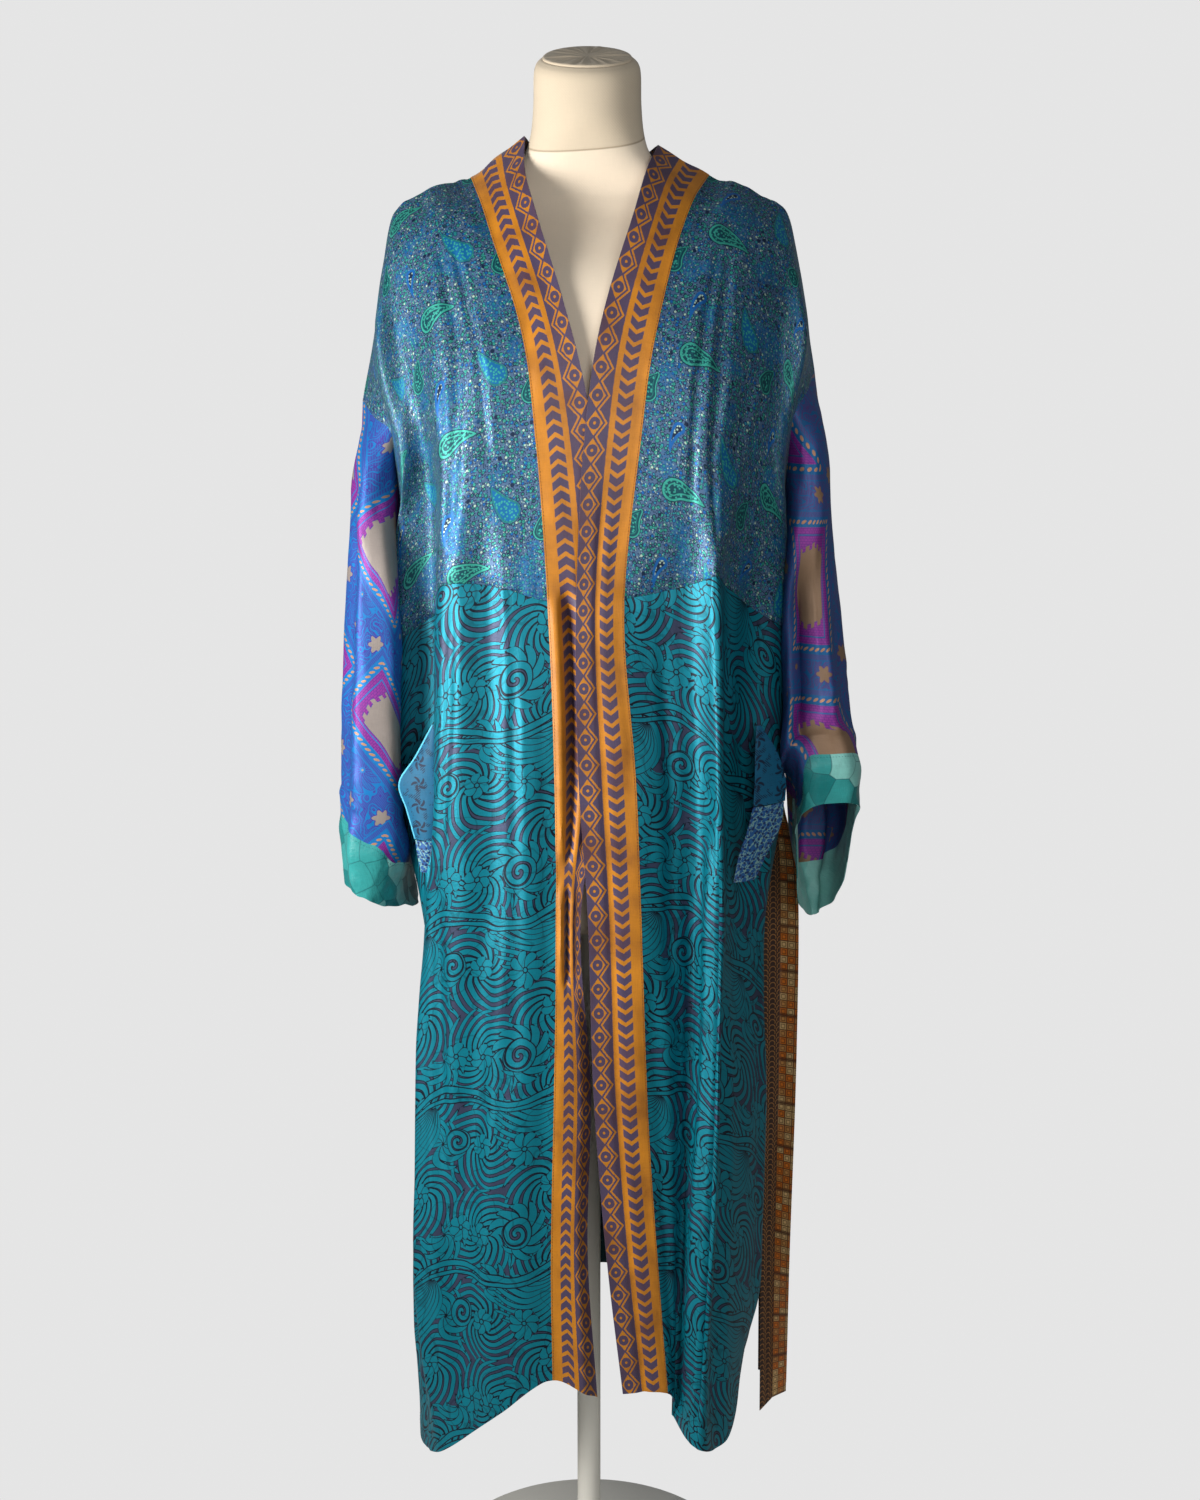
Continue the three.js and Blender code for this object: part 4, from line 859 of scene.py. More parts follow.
robe = {
    "acrossAt": [0, 0.14, 0.3, 0.5, 0.66, 0.83, 1],
    "acrossSteps": [2, 3, 3, 3, 2, 2],
    "downAt": [0, 36, 75, 140, 280, 400, 560, 690, 880, 1070, 1215],
    "downSteps": [1, 2, 2, 4, 3, 3, 3, 3, 3, 3],
    "waist": 5,  # section of the waist seam
    "underarm": 4,  # section where the armhole ends
    "fineAcross": 6,  # grid steps in each step across
    "fineDown": 7,  # grid steps in each step down
    "thick": 0.9,
    "hem": 1.7,
    # unevenness of the cloth: cells down and across, and height
    "swells": ((12, 10), 1.6),
    "crinkles": ((46, 30), 0.45),
    "puckers": ((60, 44), 0.7),
}
leftFront = {
    "side": -1,
    "hang": [
        [(60, -3, 1521), (112, 0, 1483), (137, 0, 1477), (164, 0, 1465),
         (187, 0, 1448), (200, 0, 1382), (220, 0, 1272)],
        [(59, -37, 1489), (101, -38, 1459), (131, -38, 1452), (159, -35, 1439),
         (184, -27, 1419), (202, -29, 1358), (206, -36, 1258)],
        [(48, -68, 1450), (90, -69, 1428), (125, -66, 1418), (156, -58, 1404),
         (182, -42, 1382), (199, -58, 1326), (190, -51, 1247)],
        [(24, -105, 1375), (66, -106, 1360), (106, -105, 1345), (144, -90, 1327),
         (170, -67, 1300), (181, -69, 1236), (186, -34, 1208)],
        [(-6, -128, 1244), (47, -131, 1236), (92, -130, 1226), (136, -114, 1208),
         (149, -58, 1190), (184, -46, 1140), (186, 0, 1098)],
        [(-20, -134, 1092), (37, -138, 1093), (82, -135, 1105), (140, -118, 1104),
         (146, -48, 1072), (186, -38, 1040), (193, 0, 1034)],
        [(-14, -138, 922), (31, -141, 925), (84, -140, 925), (146, -119, 905),
         (147, -50, 889), (183, -34, 877), (192, 0, 870)],
        [(6, -140, 796), (30, -142, 796), (88, -140, 786), (156, -106, 765),
         (156, -62, 752), (165, -36, 745), (164, 0, 740)],
        [(-3, -141, 610), (33, -142, 606), (95, -138, 588), (164, -98, 560),
         (170, -68, 545), (173, -36, 530), (172, 0, 520)],
        [(0, -141, 426), (37, -142, 424), (98, -138, 402), (170, -96, 368),
         (177, -64, 350), (180, -34, 335), (179, 0, 325)],
        [(-9, -142, 278), (36, -141, 301), (88, -136, 262), (152, -98, 198),
         (172, -66, 186), (181, -36, 188), (180, 0, 194)],
    ],
    # folds: place across at head and foot, half width, height, and where down they start and end
    "folds": [
        (0.36, 0.31, 0.07, -6, 300, 760),
        (0.22, 0.22, 0.06, 4, 420, 1215),
        (0.33, 0.4, 0.07, -9, 640, 1260),
        (0.36, 0.46, 0.05, -3, 50, 380),
        (0.3, 0.3, 0.03, -2.5, 60, 300),
        (0.52, 0.47, 0.035, 2.5, 150, 390),
        (0.44, 0.46, 0.03, -3, 400, 640),
        (0.26, 0.24, 0.03, -2.5, 430, 900),
        (0.56, 0.5, 0.05, 5, 700, 1240),
        (0.47, 0.4, 0.04, -5, 620, 1180),
        (0.66, 0.62, 0.05, -5, 520, 1230),
        (0.74, 0.72, 0.04, 4, 560, 1200),
    ],
}
rightFront = {
    "side": 1,
    "hang": [
        [(67, -3, 1512), (116, 0, 1484), (140, 0, 1478), (167, 0, 1466),
         (192, 0, 1450), (206, 0, 1394), (221, 0, 1302)],
        [(56, -37, 1489), (101, -39, 1462), (132, -38, 1453), (162, -36, 1440),
         (190, -27, 1419), (208, -29, 1362), (211, -36, 1282)],
        [(44, -69, 1450), (87, -71, 1428), (124, -67, 1420), (158, -58, 1405),
         (189, -42, 1382), (206, -58, 1334), (199, -51, 1264)],
        [(19, -106, 1372), (68, -107, 1358), (108, -106, 1346), (148, -91, 1328),
         (177, -68, 1304), (189, -69, 1244), (194, -34, 1216)],
        [(-3, -139, 1236), (49, -131, 1236), (92, -132, 1228), (126, -124, 1216),
         (156, -88, 1192), (190, -56, 1146), (193, 0, 1100)],
        [(-10, -148, 1092), (35, -139, 1095), (88, -126, 1104), (124, -137, 1116),
         (138, -98, 1098), (191, -50, 1056), (199, 0, 1046)],
        [(-8, -151, 922), (46, -142, 922), (98, -122, 915), (127, -145, 903),
         (132, -104, 893), (182, -60, 880), (198, 0, 872)],
        [(0, -152, 797), (51, -143, 797), (100, -121, 789), (128, -147, 781),
         (137, -108, 770), (171, -60, 752), (182, 0, 744)],
        [(6, -152, 606), (58, -143, 604), (98, -123, 595), (126, -151, 581),
         (144, -112, 566), (176, -58, 544), (184, 0, 532)],
        [(20, -152, 424), (70, -143, 424), (92, -127, 418), (120, -158, 403),
         (142, -118, 386), (172, -60, 366), (180, 0, 360)],
        [(35, -152, 292), (80, -143, 288), (88, -132, 252), (112, -163, 236),
         (142, -122, 224), (160, -62, 276), (176, 0, 300)],
    ],
    "folds": [
        (0.34, 0.5, 0.05, -3, 50, 400),
        (0.74, 0.76, 0.07, -9, 320, 700),
        (0.58, 0.6, 0.07, -9, 700, 1260),
        (0.3, 0.34, 0.035, -2.5, 60, 360),
        (0.6, 0.56, 0.03, 2.5, 120, 380),
        (0.24, 0.22, 0.03, -2.5, 420, 800),
        (0.2, 0.24, 0.05, 4, 700, 1240),
        (0.4, 0.38, 0.045, 5, 560, 1230),
        (0.48, 0.47, 0.04, -6, 540, 1250),
        (0.3, 0.31, 0.04, -4, 640, 1150),
        (0.84, 0.86, 0.04, 4, 500, 1200),
    ],
}
robeBack = {
    # for each section: depth against the front's, middle depth and height, neck outward, depth, height
    "hang": [
        (1.0, 88, 1452, 72, 64, 1464),
        (1.3, 96, 1424, 66, 80, 1434),
        (1.0, 102, 1396, 58, 95, 1403),
        (1.0, 108, 1340, 42, 110, 1344),
        (0.86, 108, 1214, 26, 111, 1216),
        (0.76, 98, 1086, 20, 104, 1086),
        (0.82, 108, 920, 20, 117, 920),
        (0.86, 112, 796, 20, 122, 794),
        (0.88, 112, 612, 20, 124, 609),
        (0.88, 111, 440, 22, 124, 435),
        (0.88, 110, 308, 24, 124, 302),
    ],
    "neckSteps": 3,
    "folds": [
        (0.2, 0.17, 0.05, -10, 420, 1260),
        (0.33, 0.34, 0.05, -7, 330, 1000),
        (0.47, 0.45, 0.06, -11, 460, 1260),
        (0.63, 0.65, 0.05, -8, 380, 1260),
        (0.79, 0.82, 0.05, -9, 500, 1260),
    ],
}

fineAcross, fineDown = robe["fineAcross"], robe["fineDown"]
acrossAt = np.array(robe["acrossAt"])
downAt = np.array(robe["downAt"], float)
coarseDown = between(downAt, robe["downSteps"])
across = between(acrossAt, [n * fineAcross for n in robe["acrossSteps"]])
down = between(coarseDown, [fineDown] * (len(coarseDown) - 1))
sectionRow = np.concatenate([[0], np.cumsum(robe["downSteps"])]) * fineDown
edgeColumn = robe["acrossSteps"][0] * fineAcross
sideColumn = len(across) - 1
waistRow, underarmRow, hemRow = sectionRow[robe["waist"]], sectionRow[robe["underarm"]], len(down) - 1


def frontNet(front):
    # the sections' points, mirrored for the left side
    return np.array(front["hang"], float) * [front["side"], 1, 1]


def drape(net, acrossKnots, acrossSamples):
    # a smooth surface through the net: curves across each section, then curves down
    wide = hermite(acrossKnots, net.transpose(1, 0, 2), acrossSamples)
    return hermite(downAt, wide.transpose(1, 0, 2), down)


def crumple(shape, seed):
    # broad swells and small crinkles, and the seam at the waist drawn in with small puckers
    height = ripple(shape, seed, *robe["swells"]) + ripple(shape, seed + 1, *robe["crinkles"])
    near = np.exp(-((np.arange(shape[0]) - waistRow) / 2.2) ** 2)[:, None]
    return height + near * (ripple(shape, seed + 2, *robe["puckers"]) - 0.6) - 1.5 * (near > 0.99)


def frontGrid(front):
    # the draped net with its folds and crumples, which fade out at the trim and at the side seam
    grid = drape(frontNet(front), acrossAt, across)
    rise = foldHeight(front["folds"], across, down) + crumple(grid.shape[:2], 7 + front["side"])
    calm = ease((across - 0.02) * 9)[None] * ease((1 - across) * 12)[None]
    return grid + gridNormals(grid, -front["side"]) * (rise * calm)[..., None]


leftGrid, rightGrid = frontGrid(leftFront), frontGrid(rightFront)

# the back runs from the left side seam over the middle to the right one and follows the fronts' stations
backHang = np.array(robeBack["hang"], float)


def halfBack(front):
    # the front's points from side to edge, turned over to the back, then the point at the neck
    points = frontNet(front)[:, :0:-1]
    points = points * np.stack([np.ones(11), -backHang[:, 0], np.ones(11)], -1)[:, None]
    neck = backHang[:, 3:6] * [front["side"], 1, 1]
    return np.concatenate([points, neck[:, None]], axis=1)


middle = np.stack([np.zeros(11), backHang[:, 1], backHang[:, 2]], -1)[:, None]
backNet = np.concatenate([halfBack(leftFront), middle, halfBack(rightFront)[:, ::-1]], axis=1)
fullSpan = 2 * (1 - acrossAt[1] + 0.26)
halfKnots = np.append((1 - acrossAt[:0:-1]) / fullSpan, [(1 - acrossAt[1] + 0.13) / fullSpan, 0.5])
backKnots = np.concatenate([halfKnots, 1 - halfKnots[-2::-1]])
halfSamples = (1 - across[edgeColumn:][::-1]) / fullSpan
neckSamples = np.linspace(halfSamples[-1], 0.5, robeBack["neckSteps"] * fineAcross + 1)[1:]
halfSamples = np.concatenate([halfSamples, neckSamples])
backAcross = np.concatenate([halfSamples, 1 - halfSamples[-2::-1]])
backGrid = drape(backNet, backKnots, backAcross)
backRise = foldHeight(robeBack["folds"], backAcross, down) + crumple(backGrid.shape[:2], 31)
backRise *= ease(backAcross * 14) * ease((1 - backAcross) * 14)
backGrid += gridNormals(backGrid, 1) * backRise[..., None]
backLast = len(backAcross) - 1
seamColumns = sideColumn - edgeColumn
backGrid[0, :seamColumns + 1] = leftGrid[0, edgeColumn:][::-1]
backGrid[0, backLast - seamColumns:] = rightGrid[0, edgeColumn:]
backGrid[underarmRow:, 0] = leftGrid[underarmRow:, sideColumn]
backGrid[underarmRow:, backLast] = rightGrid[underarmRow:, sideColumn]

# sleeves: rings from the armhole down to the cuff's open end

sleeves = {
    "rowsAt": [0, 0.05, 0.1, 0.18, 0.28, 0.4, 0.52, 0.64, 0.75, 0.85, 0.92, 0.96, 1.0],
    "cuffRow": 10,
    "fineDown": 7,
    "squareness": 0.62,
    # at, outer wall at the front and back, inner wall at the front and back, front, back,
    # outer and inner heights, lean
    "left": [
        (0.09, 222, 222, 179, 202, -64, 62, 1233, 1092, 0),
        (0.28, 235, 235, 173, 219, -72, 84, 1130, 1020, 0),
        (0.52, 243, 243, 173, 228, -75, 92, 1000, 930, 0),
        (0.76, 248, 248, 173, 222, -74, 94, 900, 860, 4),
        (0.92, 249, 249, 180, 186, -70, 92, 856, 800, 14),
        (1.0, 246, 246, 208, 172, -64, 88, 784, 756, 14),
    ],
    "right": [
        (0.09, 227, 227, 186, 207, -64, 69, 1258, 1094, 0),
        (0.28, 241, 241, 182, 220, -72, 80, 1140, 1020, 0),
        (0.52, 253, 253, 181, 227, -76, 82, 1024, 949, 18),
        (0.76, 261, 261, 179, 227, -79, 78, 942, 884, 46),
        (0.92, 270, 262, 192, 220, -80, 74, 868, 852, 74),
        (1.0, 275, 250, 205, 230, -80, 68, 812, 801, 78),
    ],
    # place round from the outer line by the front, half width, height, and where down it starts and ends
    "leftFolds": [(0.13, 0.07, -7, 0.05, 1.05), (0.86, 0.07, -8, 0.12, 1.1), (0.66, 0.06, 5, 0.3, 1.1)],
    "rightFolds": [(0.28, 0.055, -15, 0.12, 0.98), (0.13, 0.06, -4, 0.3, 0.95),
                   (0.85, 0.07, -8, 0.12, 1.1), (0.68, 0.06, 5, 0.3, 1.0), (0.2, 0.03, 3, 0.3, 0.95)],
    # where the cuff's seam hangs lower: place round, half width, share of the cuff's depth
    "leftSeam": (0.33, 0.1, 0.15),
    "rightSeam": (0.4, 0.13, 0.8),
    "swells": ((9, 8), 1.8),
    "crinkles": ((30, 26), 0.7),
}
sleeveDown = between(sleeves["rowsAt"], [sleeves["fineDown"]] * (len(sleeves["rowsAt"]) - 1))
cuffRow = sleeves["cuffRow"] * sleeves["fineDown"]


def sleeveRing(ring, turn, side):
    # a squared ring: powers of the cosine and sine, the inner wall slanting from front to back
    at, outFront, outBack, inFront, inBack, front, back, outerZ, innerZ, lean = ring
    c, s = np.cos(2 * np.pi * turn), np.sin(2 * np.pi * turn)
    wide = np.sign(c) * np.abs(c) ** sleeves["squareness"]
    deep = np.sign(s) * np.abs(s) ** sleeves["squareness"]
    depth = (front + back) / 2 - deep * (back - front) / 2
    inner = inFront + (inBack - inFront) * (0.5 - 0.5 * deep)
    outer = outFront + (outBack - outFront) * (0.5 - 0.5 * deep)
    out = (outer + inner) / 2 + wide * (outer - inner) / 2
    height = (outerZ + innerZ) / 2 + c * (outerZ - innerZ) / 2 + np.sign(s) * np.abs(s) ** 0.35 * lean
    return np.stack([side * out, depth, height], -1)


def sleeveGrid(front, backColumn, side, which):
    # rings from the armhole to the cuff's end, joined by smooth curves, with folds and crumples
    armhole = np.concatenate([front[:underarmRow, sideColumn], backGrid[underarmRow:0:-1, backColumn]])
    turn = np.arange(len(armhole)) / len(armhole)
    rings = sleeves[which]
    net = np.array([armhole] + [sleeveRing(ring, turn, side) for ring in rings])
    grid = hermite([0] + [ring[0] for ring in rings], net, sleeveDown)
    fall = sleeveDown[:, None]
    rise = sum(height * ease((fall - start) * 6) * ease((until - fall) * 6) * bump((turn - place) / half)
               for place, half, height, start, until in sleeves[which + "Folds"])
    crumpled = sum(ripple(grid.shape[:2], seed, *sleeves[key], True)
                   for seed, key in ((51, "swells"), (52, "crinkles")))
    rise = rise + ease((fall - 0.02) * 14) * (1 + 1.2 * ease((fall - 0.88) * 14)) * crumpled
    return lowerSeam(grid + gridNormals(grid, side, True) * rise[..., None], turn, sleeves[which + "Seam"])


def lowerSeam(grid, turn, seam):
    # rows moved down the cloth so that the cuff's seam row hangs lower over part of the round
    place, half, share = seam
    deep = len(grid) - 1 - cuffRow
    low = share * deep * bump((turn - place) / half)[None]
    row = np.arange(len(grid))[:, None]
    source = np.where(row <= cuffRow, row * (cuffRow + low) / cuffRow,
                      cuffRow + low + (row - cuffRow) * (deep - low) / deep)
    first = np.minimum(source.astype(int), len(grid) - 2)
    part = (source - first)[..., None]
    column = np.arange(grid.shape[1])[None]
    return grid[first, column] * (1 - part) + grid[first + 1, column] * part


leftSleeve = sleeveGrid(leftGrid, 0, -1, "left")
rightSleeve = sleeveGrid(rightGrid, backLast, 1, "right")

# trim: one strip up the left front, round the back of the neck, down the right front

trim = {
    "width": 58,
    "thick": 1.5,
    "neck": [(-48, 46, 1512), (0, 70, 1502), (50, 46, 1506)],
    # the left strip is folded lengthwise in two stretches: where down they start and end, and how fully
    "creases": [(385, 650, 1), (662, 775, 0.9)],
    # height, place in from the outer edge and half width of the fold's ridges and valley
    "fold": [(4, 7, 8), (-12, 20, 9), (2, 34, 8)],
    # start and end down the strip, depth, place in from the outer edge and span
    "leftTurnedUnder": (770, 1300, 9, 40, 18),
    "rightHollow": (300, 1300, 2, 33, 9),
    "swells": ((46, 4), 0.8),
}
neckInner = np.array([leftGrid[0, 0], *trim["neck"], rightGrid[0, 0]])
neckCount = 2 * robeBack["neckSteps"] * fineAcross - 1
neckTurn = np.arange(1, neckCount + 1) / (neckCount + 1)
neckLine = hermite([0, 0.25, 0.5, 0.75, 1], neckInner, neckTurn)
neckOuter = backGrid[0, seamColumns + 1:backLast - seamColumns]
share = np.linspace(0, 1, edgeColumn + 1)[None, :, None]
neckStrip = neckLine[:, None] * (1 - share) + neckOuter[:, None] * share
trimCoarse = np.concatenate([leftGrid[::-1, :edgeColumn + 1], neckStrip, rightGrid[:, :edgeColumn + 1]])
trimColumns = 2 * edgeColumn + 1
trimGrid = hermite(np.arange(edgeColumn + 1), trimCoarse.transpose(1, 0, 2),
                   np.linspace(0, edgeColumn, trimColumns)).transpose(1, 0, 2)
trimOut = (1 - np.linspace(0, 1, trimColumns))[None] * trim["width"]
leftFall = np.zeros(len(trimGrid))
leftFall[:len(down)] = down[::-1]
rightFall = np.zeros(len(trimGrid))
rightFall[-len(down):] = down


def stretch(fall, start, until, soft=30):
    # 1 along a stretch of the strip, eased in and out at its ends
    return (ease((fall - start) / soft) * ease((until - fall) / soft))[:, None]


creased = sum(share * stretch(leftFall, start, until) for start, until, share in trim["creases"])
trimRise = creased * sum(height * bump((trimOut - place) / half) for height, place, half in trim["fold"])
start, until, depth, place, span = trim["leftTurnedUnder"]
trimRise = trimRise - stretch(leftFall, start, until, 60) * depth * ease((trimOut - place) / span)
start, until, depth, place, span = trim["rightHollow"]
trimRise = trimRise - stretch(rightFall, start, until, 60) * depth * bump((trimOut - place) / span)
trimRise = trimRise + ripple(trimGrid.shape[:2], 71, *trim["swells"]) * ease(trimOut / 8)
trimNormals = gridNormals(trimGrid, -1)
trimGrid = trimGrid + trimNormals * trimRise[..., None]

# panels cut from the sheets


def clothUv(grid, startColumn, side):
    # metres of cloth out from the start and down from the shoulder
    out = alongLength(grid, 1)
    out = (out - out[:, startColumn:startColumn + 1]) * side
    return np.stack([out, -alongLength(grid, 0)], -1) * mm


def area(grid):
    # the sum of the cells' areas, each as a parallelogram on two of its edges
    a, b = grid[1:, :-1] - grid[:-1, :-1], grid[:-1, 1:] - grid[:-1, :-1]
    return round(float(np.linalg.norm(np.cross(a, b), axis=-1).sum()) * mm * mm, 3)


stitching = {  # pitch, then length, width and height of one stitch
    "hem": (6.0, (1.6, 0.6, 0.35)),
    "waist": (3.6, (3.5, 0.9, 0.45)),
    "cuff": (3.0, (1.7, 0.5, 0.3)),
    "trim": (3.1, (2.1, 0.6, 0.4)),
    "trimEdge": 1.7,
    "piping": 1.1,
}
panels = {  # grid, first and last column, column that its print starts from, side that faces out
    "Left": (leftGrid, edgeColumn, sideColumn, edgeColumn, 1),
    "Right": (rightGrid, edgeColumn, sideColumn, edgeColumn, -1),
    "Back": (backGrid, 0, backLast, backLast // 2, 1),
}
for silk, firstRow, lastRow in (("bodice", 0, waistRow), ("skirt", waistRow, hemRow)):
    for label, (grid, firstColumn, lastColumn, startColumn, sign) in panels.items():
        name, normals = f"{silk}Silk{label}", gridNormals(grid, sign)
        uv = clothUv(grid, startColumn, -1 if label == "Left" else 1)
        part = (slice(firstRow, lastRow + 1), slice(firstColumn, lastColumn + 1))
        thick = np.full((lastRow - firstRow + 1, 1), robe["thick"])
        what, row = "waist", waistRow
        if silk == "skirt":
            thick[-3:] = robe["hem"]
            what, row = "hem", hemRow - 2
        piece = shell(name, grid[part], normals[part], thick, uv[part], [silks[silk], silks["inside"]], sign)
        node = f"back_{silk}" if label == "Back" else f"front_{silk}_{label.lower()}"
        standsFor(piece, node, f"{silk}_silk")
        lifted = normals[row, part[1]]
        wall = robe["hem" if what == "hem" else "thick"]
        line = grid[row, part[1]] + lifted * wall / 2
        stitchRun(f"{what}Stitch{label}", line, lifted, *stitching[what],
                                           silks["tealThread"])
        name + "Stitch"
        print("panel", name, "area", area(grid[part]))

trimOut = np.broadcast_to(trimOut, trimGrid.shape[:2])
trimRun = alongLength(trimGrid, 0).mean(1, keepdims=True) + 0 * trimOut
trimNormals = gridNormals(trimGrid, -1)
trimPiece = shell("trimStrip", trimGrid, trimNormals, trim["thick"], np.stack([trimOut, trimRun], -1) * mm,
                  [silks["trim"]], -1)
standsFor(trimPiece, "neck_band", "trim_silk")
inward = stitching["trimEdge"] / trim["width"] * (trimColumns - 1)
trimPath = trimGrid[:, -1] * (1 - inward) + trimGrid[:, -2] * inward
trimPath = trimPath + trimNormals[:, -1] * trim["thick"] / 2
trimStitch = stitchRun("trimStitch", trimPath, trimNormals[:, -1], *stitching["trim"], silks["thread"])
print("trim area", area(trimGrid))

for label, grid, side in (("Left", leftSleeve, -1), ("Right", rightSleeve, 1)):
    loop = np.concatenate([grid, grid[:, :1]], axis=1)
    uv = np.stack([alongLength(loop, 1), loop[..., 2] * 1.03], -1) * mm
    normals = gridNormals(grid, side, True)
    for silk, firstRow, lastRow, outside, reverse in (
            ("sleeve", 0, cuffRow, "sleeve" + label, "sleeve" + label),
            ("cuff", cuffRow, len(grid) - 1, "cuff", "cuffInsidePaintedLight")):
        part = slice(firstRow, lastRow + 1)
        piece = shell(f"{silk}Silk{label}", grid[part], normals[part], robe["thick"], uv[part],
                      [silks[outside], silks[reverse]], side, True)
        standsFor(piece, f"{silk}_{label.lower()}", f"{silk}_silk")
        print(silk, label, "area", area(loop[part]))
    lifted = np.concatenate([normals, normals[:, :1]], axis=1)[cuffRow + 1]
    line = loop[cuffRow + 1] + lifted * robe["thick"] / 2
    stitchRun("cuffStitch" + label, line, lifted, *stitching["cuff"],
                                            silks["tealThread"])
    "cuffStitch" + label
print("robe sewn")

# pocket bags

pockets = {
    "thick": 0.8,
    "around": 13,
    # height, then outward and depth of the edge by the skirt's fold and of the free edge
    "pocket_left_upper": (-1, "pocketPlain", [(968, 147, -103, 149, -102), (934, 147, -101, 167, -90),
                          (906, 148, -99, 184, -82), (880, 150, -97, 177, -84), (851, 152, -95, 169, -87)]),
    "pocket_left_lower": (-1, "pocketDitsy", [(850, 152, -95, 169, -87), (834, 155, -93, 167, -88),
                          (818, 158, -91, 164, -88)]),
    "pocket_right_upper": (1, "pocketPlain", [(966, 163, -96, 167, -94), (938, 162, -97, 184, -80),
                           (908, 162, -97, 194, -72), (886, 161, -97, 194, -72)]),
    "pocket_right_lower": (1, "pocketDitsy", [(885, 161, -97, 193, -72), (862, 155, -101, 190, -74),
                           (838, 147, -106, 177, -85), (813, 142, -110, 164, -96)]),
}
for node in ("pocket_left_upper", "pocket_left_lower", "pocket_right_upper", "pocket_right_lower"):
    side, silk, rows = pockets[node]
    rows = hermite(np.arange(len(rows)), rows, np.linspace(0, len(rows) - 1, 8 * len(rows)))
    height, foldOut, foldDepth, freeOut, freeDepth = (rows[:, k:k + 1] for k in range(5))
    part = np.linspace(0, 1, pockets["around"])[None]
    width = freeOut - foldOut
    out = foldOut + width * part
    depth = foldDepth + (freeDepth - foldDepth) * part - 4 * part * (1 - part) * np.minimum(3, 0.15 * width)
    grid = np.stack([side * out, depth, height + 0 * part], -1)
    uv = np.stack([out - 160, grid[..., 2]], -1) * mm
    name = "".join(word.capitalize() for word in node.split("_"))
    piece = shell(name, grid, gridNormals(grid, side), pockets["thick"], uv, [silks[silk]], side)
    standsFor(piece, node, "pocket_plain_silk" if "upper" in node else "pocket_ditsy_silk")
    if node == "pocket_left_upper":
        cord("pocketPiping", grid[:, -1], stitching["piping"], silks["piping"])

# belt, folded in half over its loop

belt = {
    "thick": 0.9,
    "steps": [2, 2, 2, 2, 2, 2, 1, 1, 1, 2, 2, 2, 2, 2, 2],
    "fine": 5,
    "across": 13,
    "halfCut": 20,
    "creasing": 1.3,
    # outward, depth, height, half width, depth of the lengthwise crease, slant of the end
    "way": [
        (207, 86, 152, 14.5, 6, 12), (207, 88, 330, 16, 7, 0), (208, 91, 560, 18.5, 6, 0),
        (206, 93, 760, 18, 7, 0), (198, 86, 850, 8, 3, 0), (197, 66, 930, 4.5, 1.5, 0),
        (197, 49, 1004, 4, 1, 0), (197, 52, 1013, 4, 0.5, 0), (197, 57, 1013, 4, 0.5, 0),
        (197, 60, 1004, 4, 1, 0), (197, 76, 930, 4.5, 1.5, 0), (198, 97, 850, 8, 3, 0),
        (206, 105, 760, 17, 7, 0), (207, 103, 560, 17.5, 6, 0), (207, 100, 330, 17, 7, 0),
        (207, 98, 176, 16, 6, -8),
    ],
}
beltMarks = between(np.arange(len(belt["way"])), belt["steps"])
beltFine = between(beltMarks, [belt["fine"]] * (len(beltMarks) - 1))
beltRows = hermite(np.arange(len(belt["way"])), belt["way"], beltFine)
out, depth, height, half, crease, slant = (beltRows[:, k:k + 1] for k in range(6))
x = np.linspace(-1, 1, belt["across"])[None]
depth = depth + crease * (1 - np.abs(x)) * belt["creasing"]
beltGrid = np.stack([out + x * half, depth, height + x * slant], -1)
beltRun = alongLength(beltGrid, 0)[:, belt["across"] // 2][:, None]
beltUv = np.stack([x * belt["halfCut"] + 0 * out, beltRun + 0 * x], -1) * mm
beltPiece = shell("beltSilk", beltGrid, gridNormals(beltGrid, 1), belt["thick"], beltUv, [silks["belt"]], 1)
standsFor(beltPiece, "belt", "belt_silk")
print("belt area", area(beltGrid))

loopThread = {"seam": 189, "stand": 203, "depth": 54.5, "half": 2, "low": 1004, "high": 1040,
              "thick": 1.2, "round": 3}
seam, stand, low, high, corner = (loopThread[key] for key in ("seam", "stand", "low", "high", "round"))
path = np.array([(seam, low), (stand - corner, low), (stand, low + corner), (stand, high - corner),
                 (stand - corner, high), (seam, high)], float)
path = hermite([0, 1, 1.4, 2.6, 3, 4], path, np.linspace(0, 4, 41))
out, height = path[:, :1], path[:, 1:]
x = np.linspace(-loopThread["half"], loopThread["half"], 5)[None]
loopGrid = np.stack([out + 0 * x, loopThread["depth"] + x + 0 * out, height + 0 * x], -1)
loopUv = np.stack([x + 0 * out, height + 0 * x], -1) * mm
loopPiece = shell("beltLoop", loopGrid, gridNormals(loopGrid, 1), loopThread["thick"], loopUv,
                  [silks["skirt"]], 1)
standsFor(loopPiece, "belt_loop", "skirt_silk")
print("belt hung")

# dress form: closed sections from the hip to the leaning top of the neck

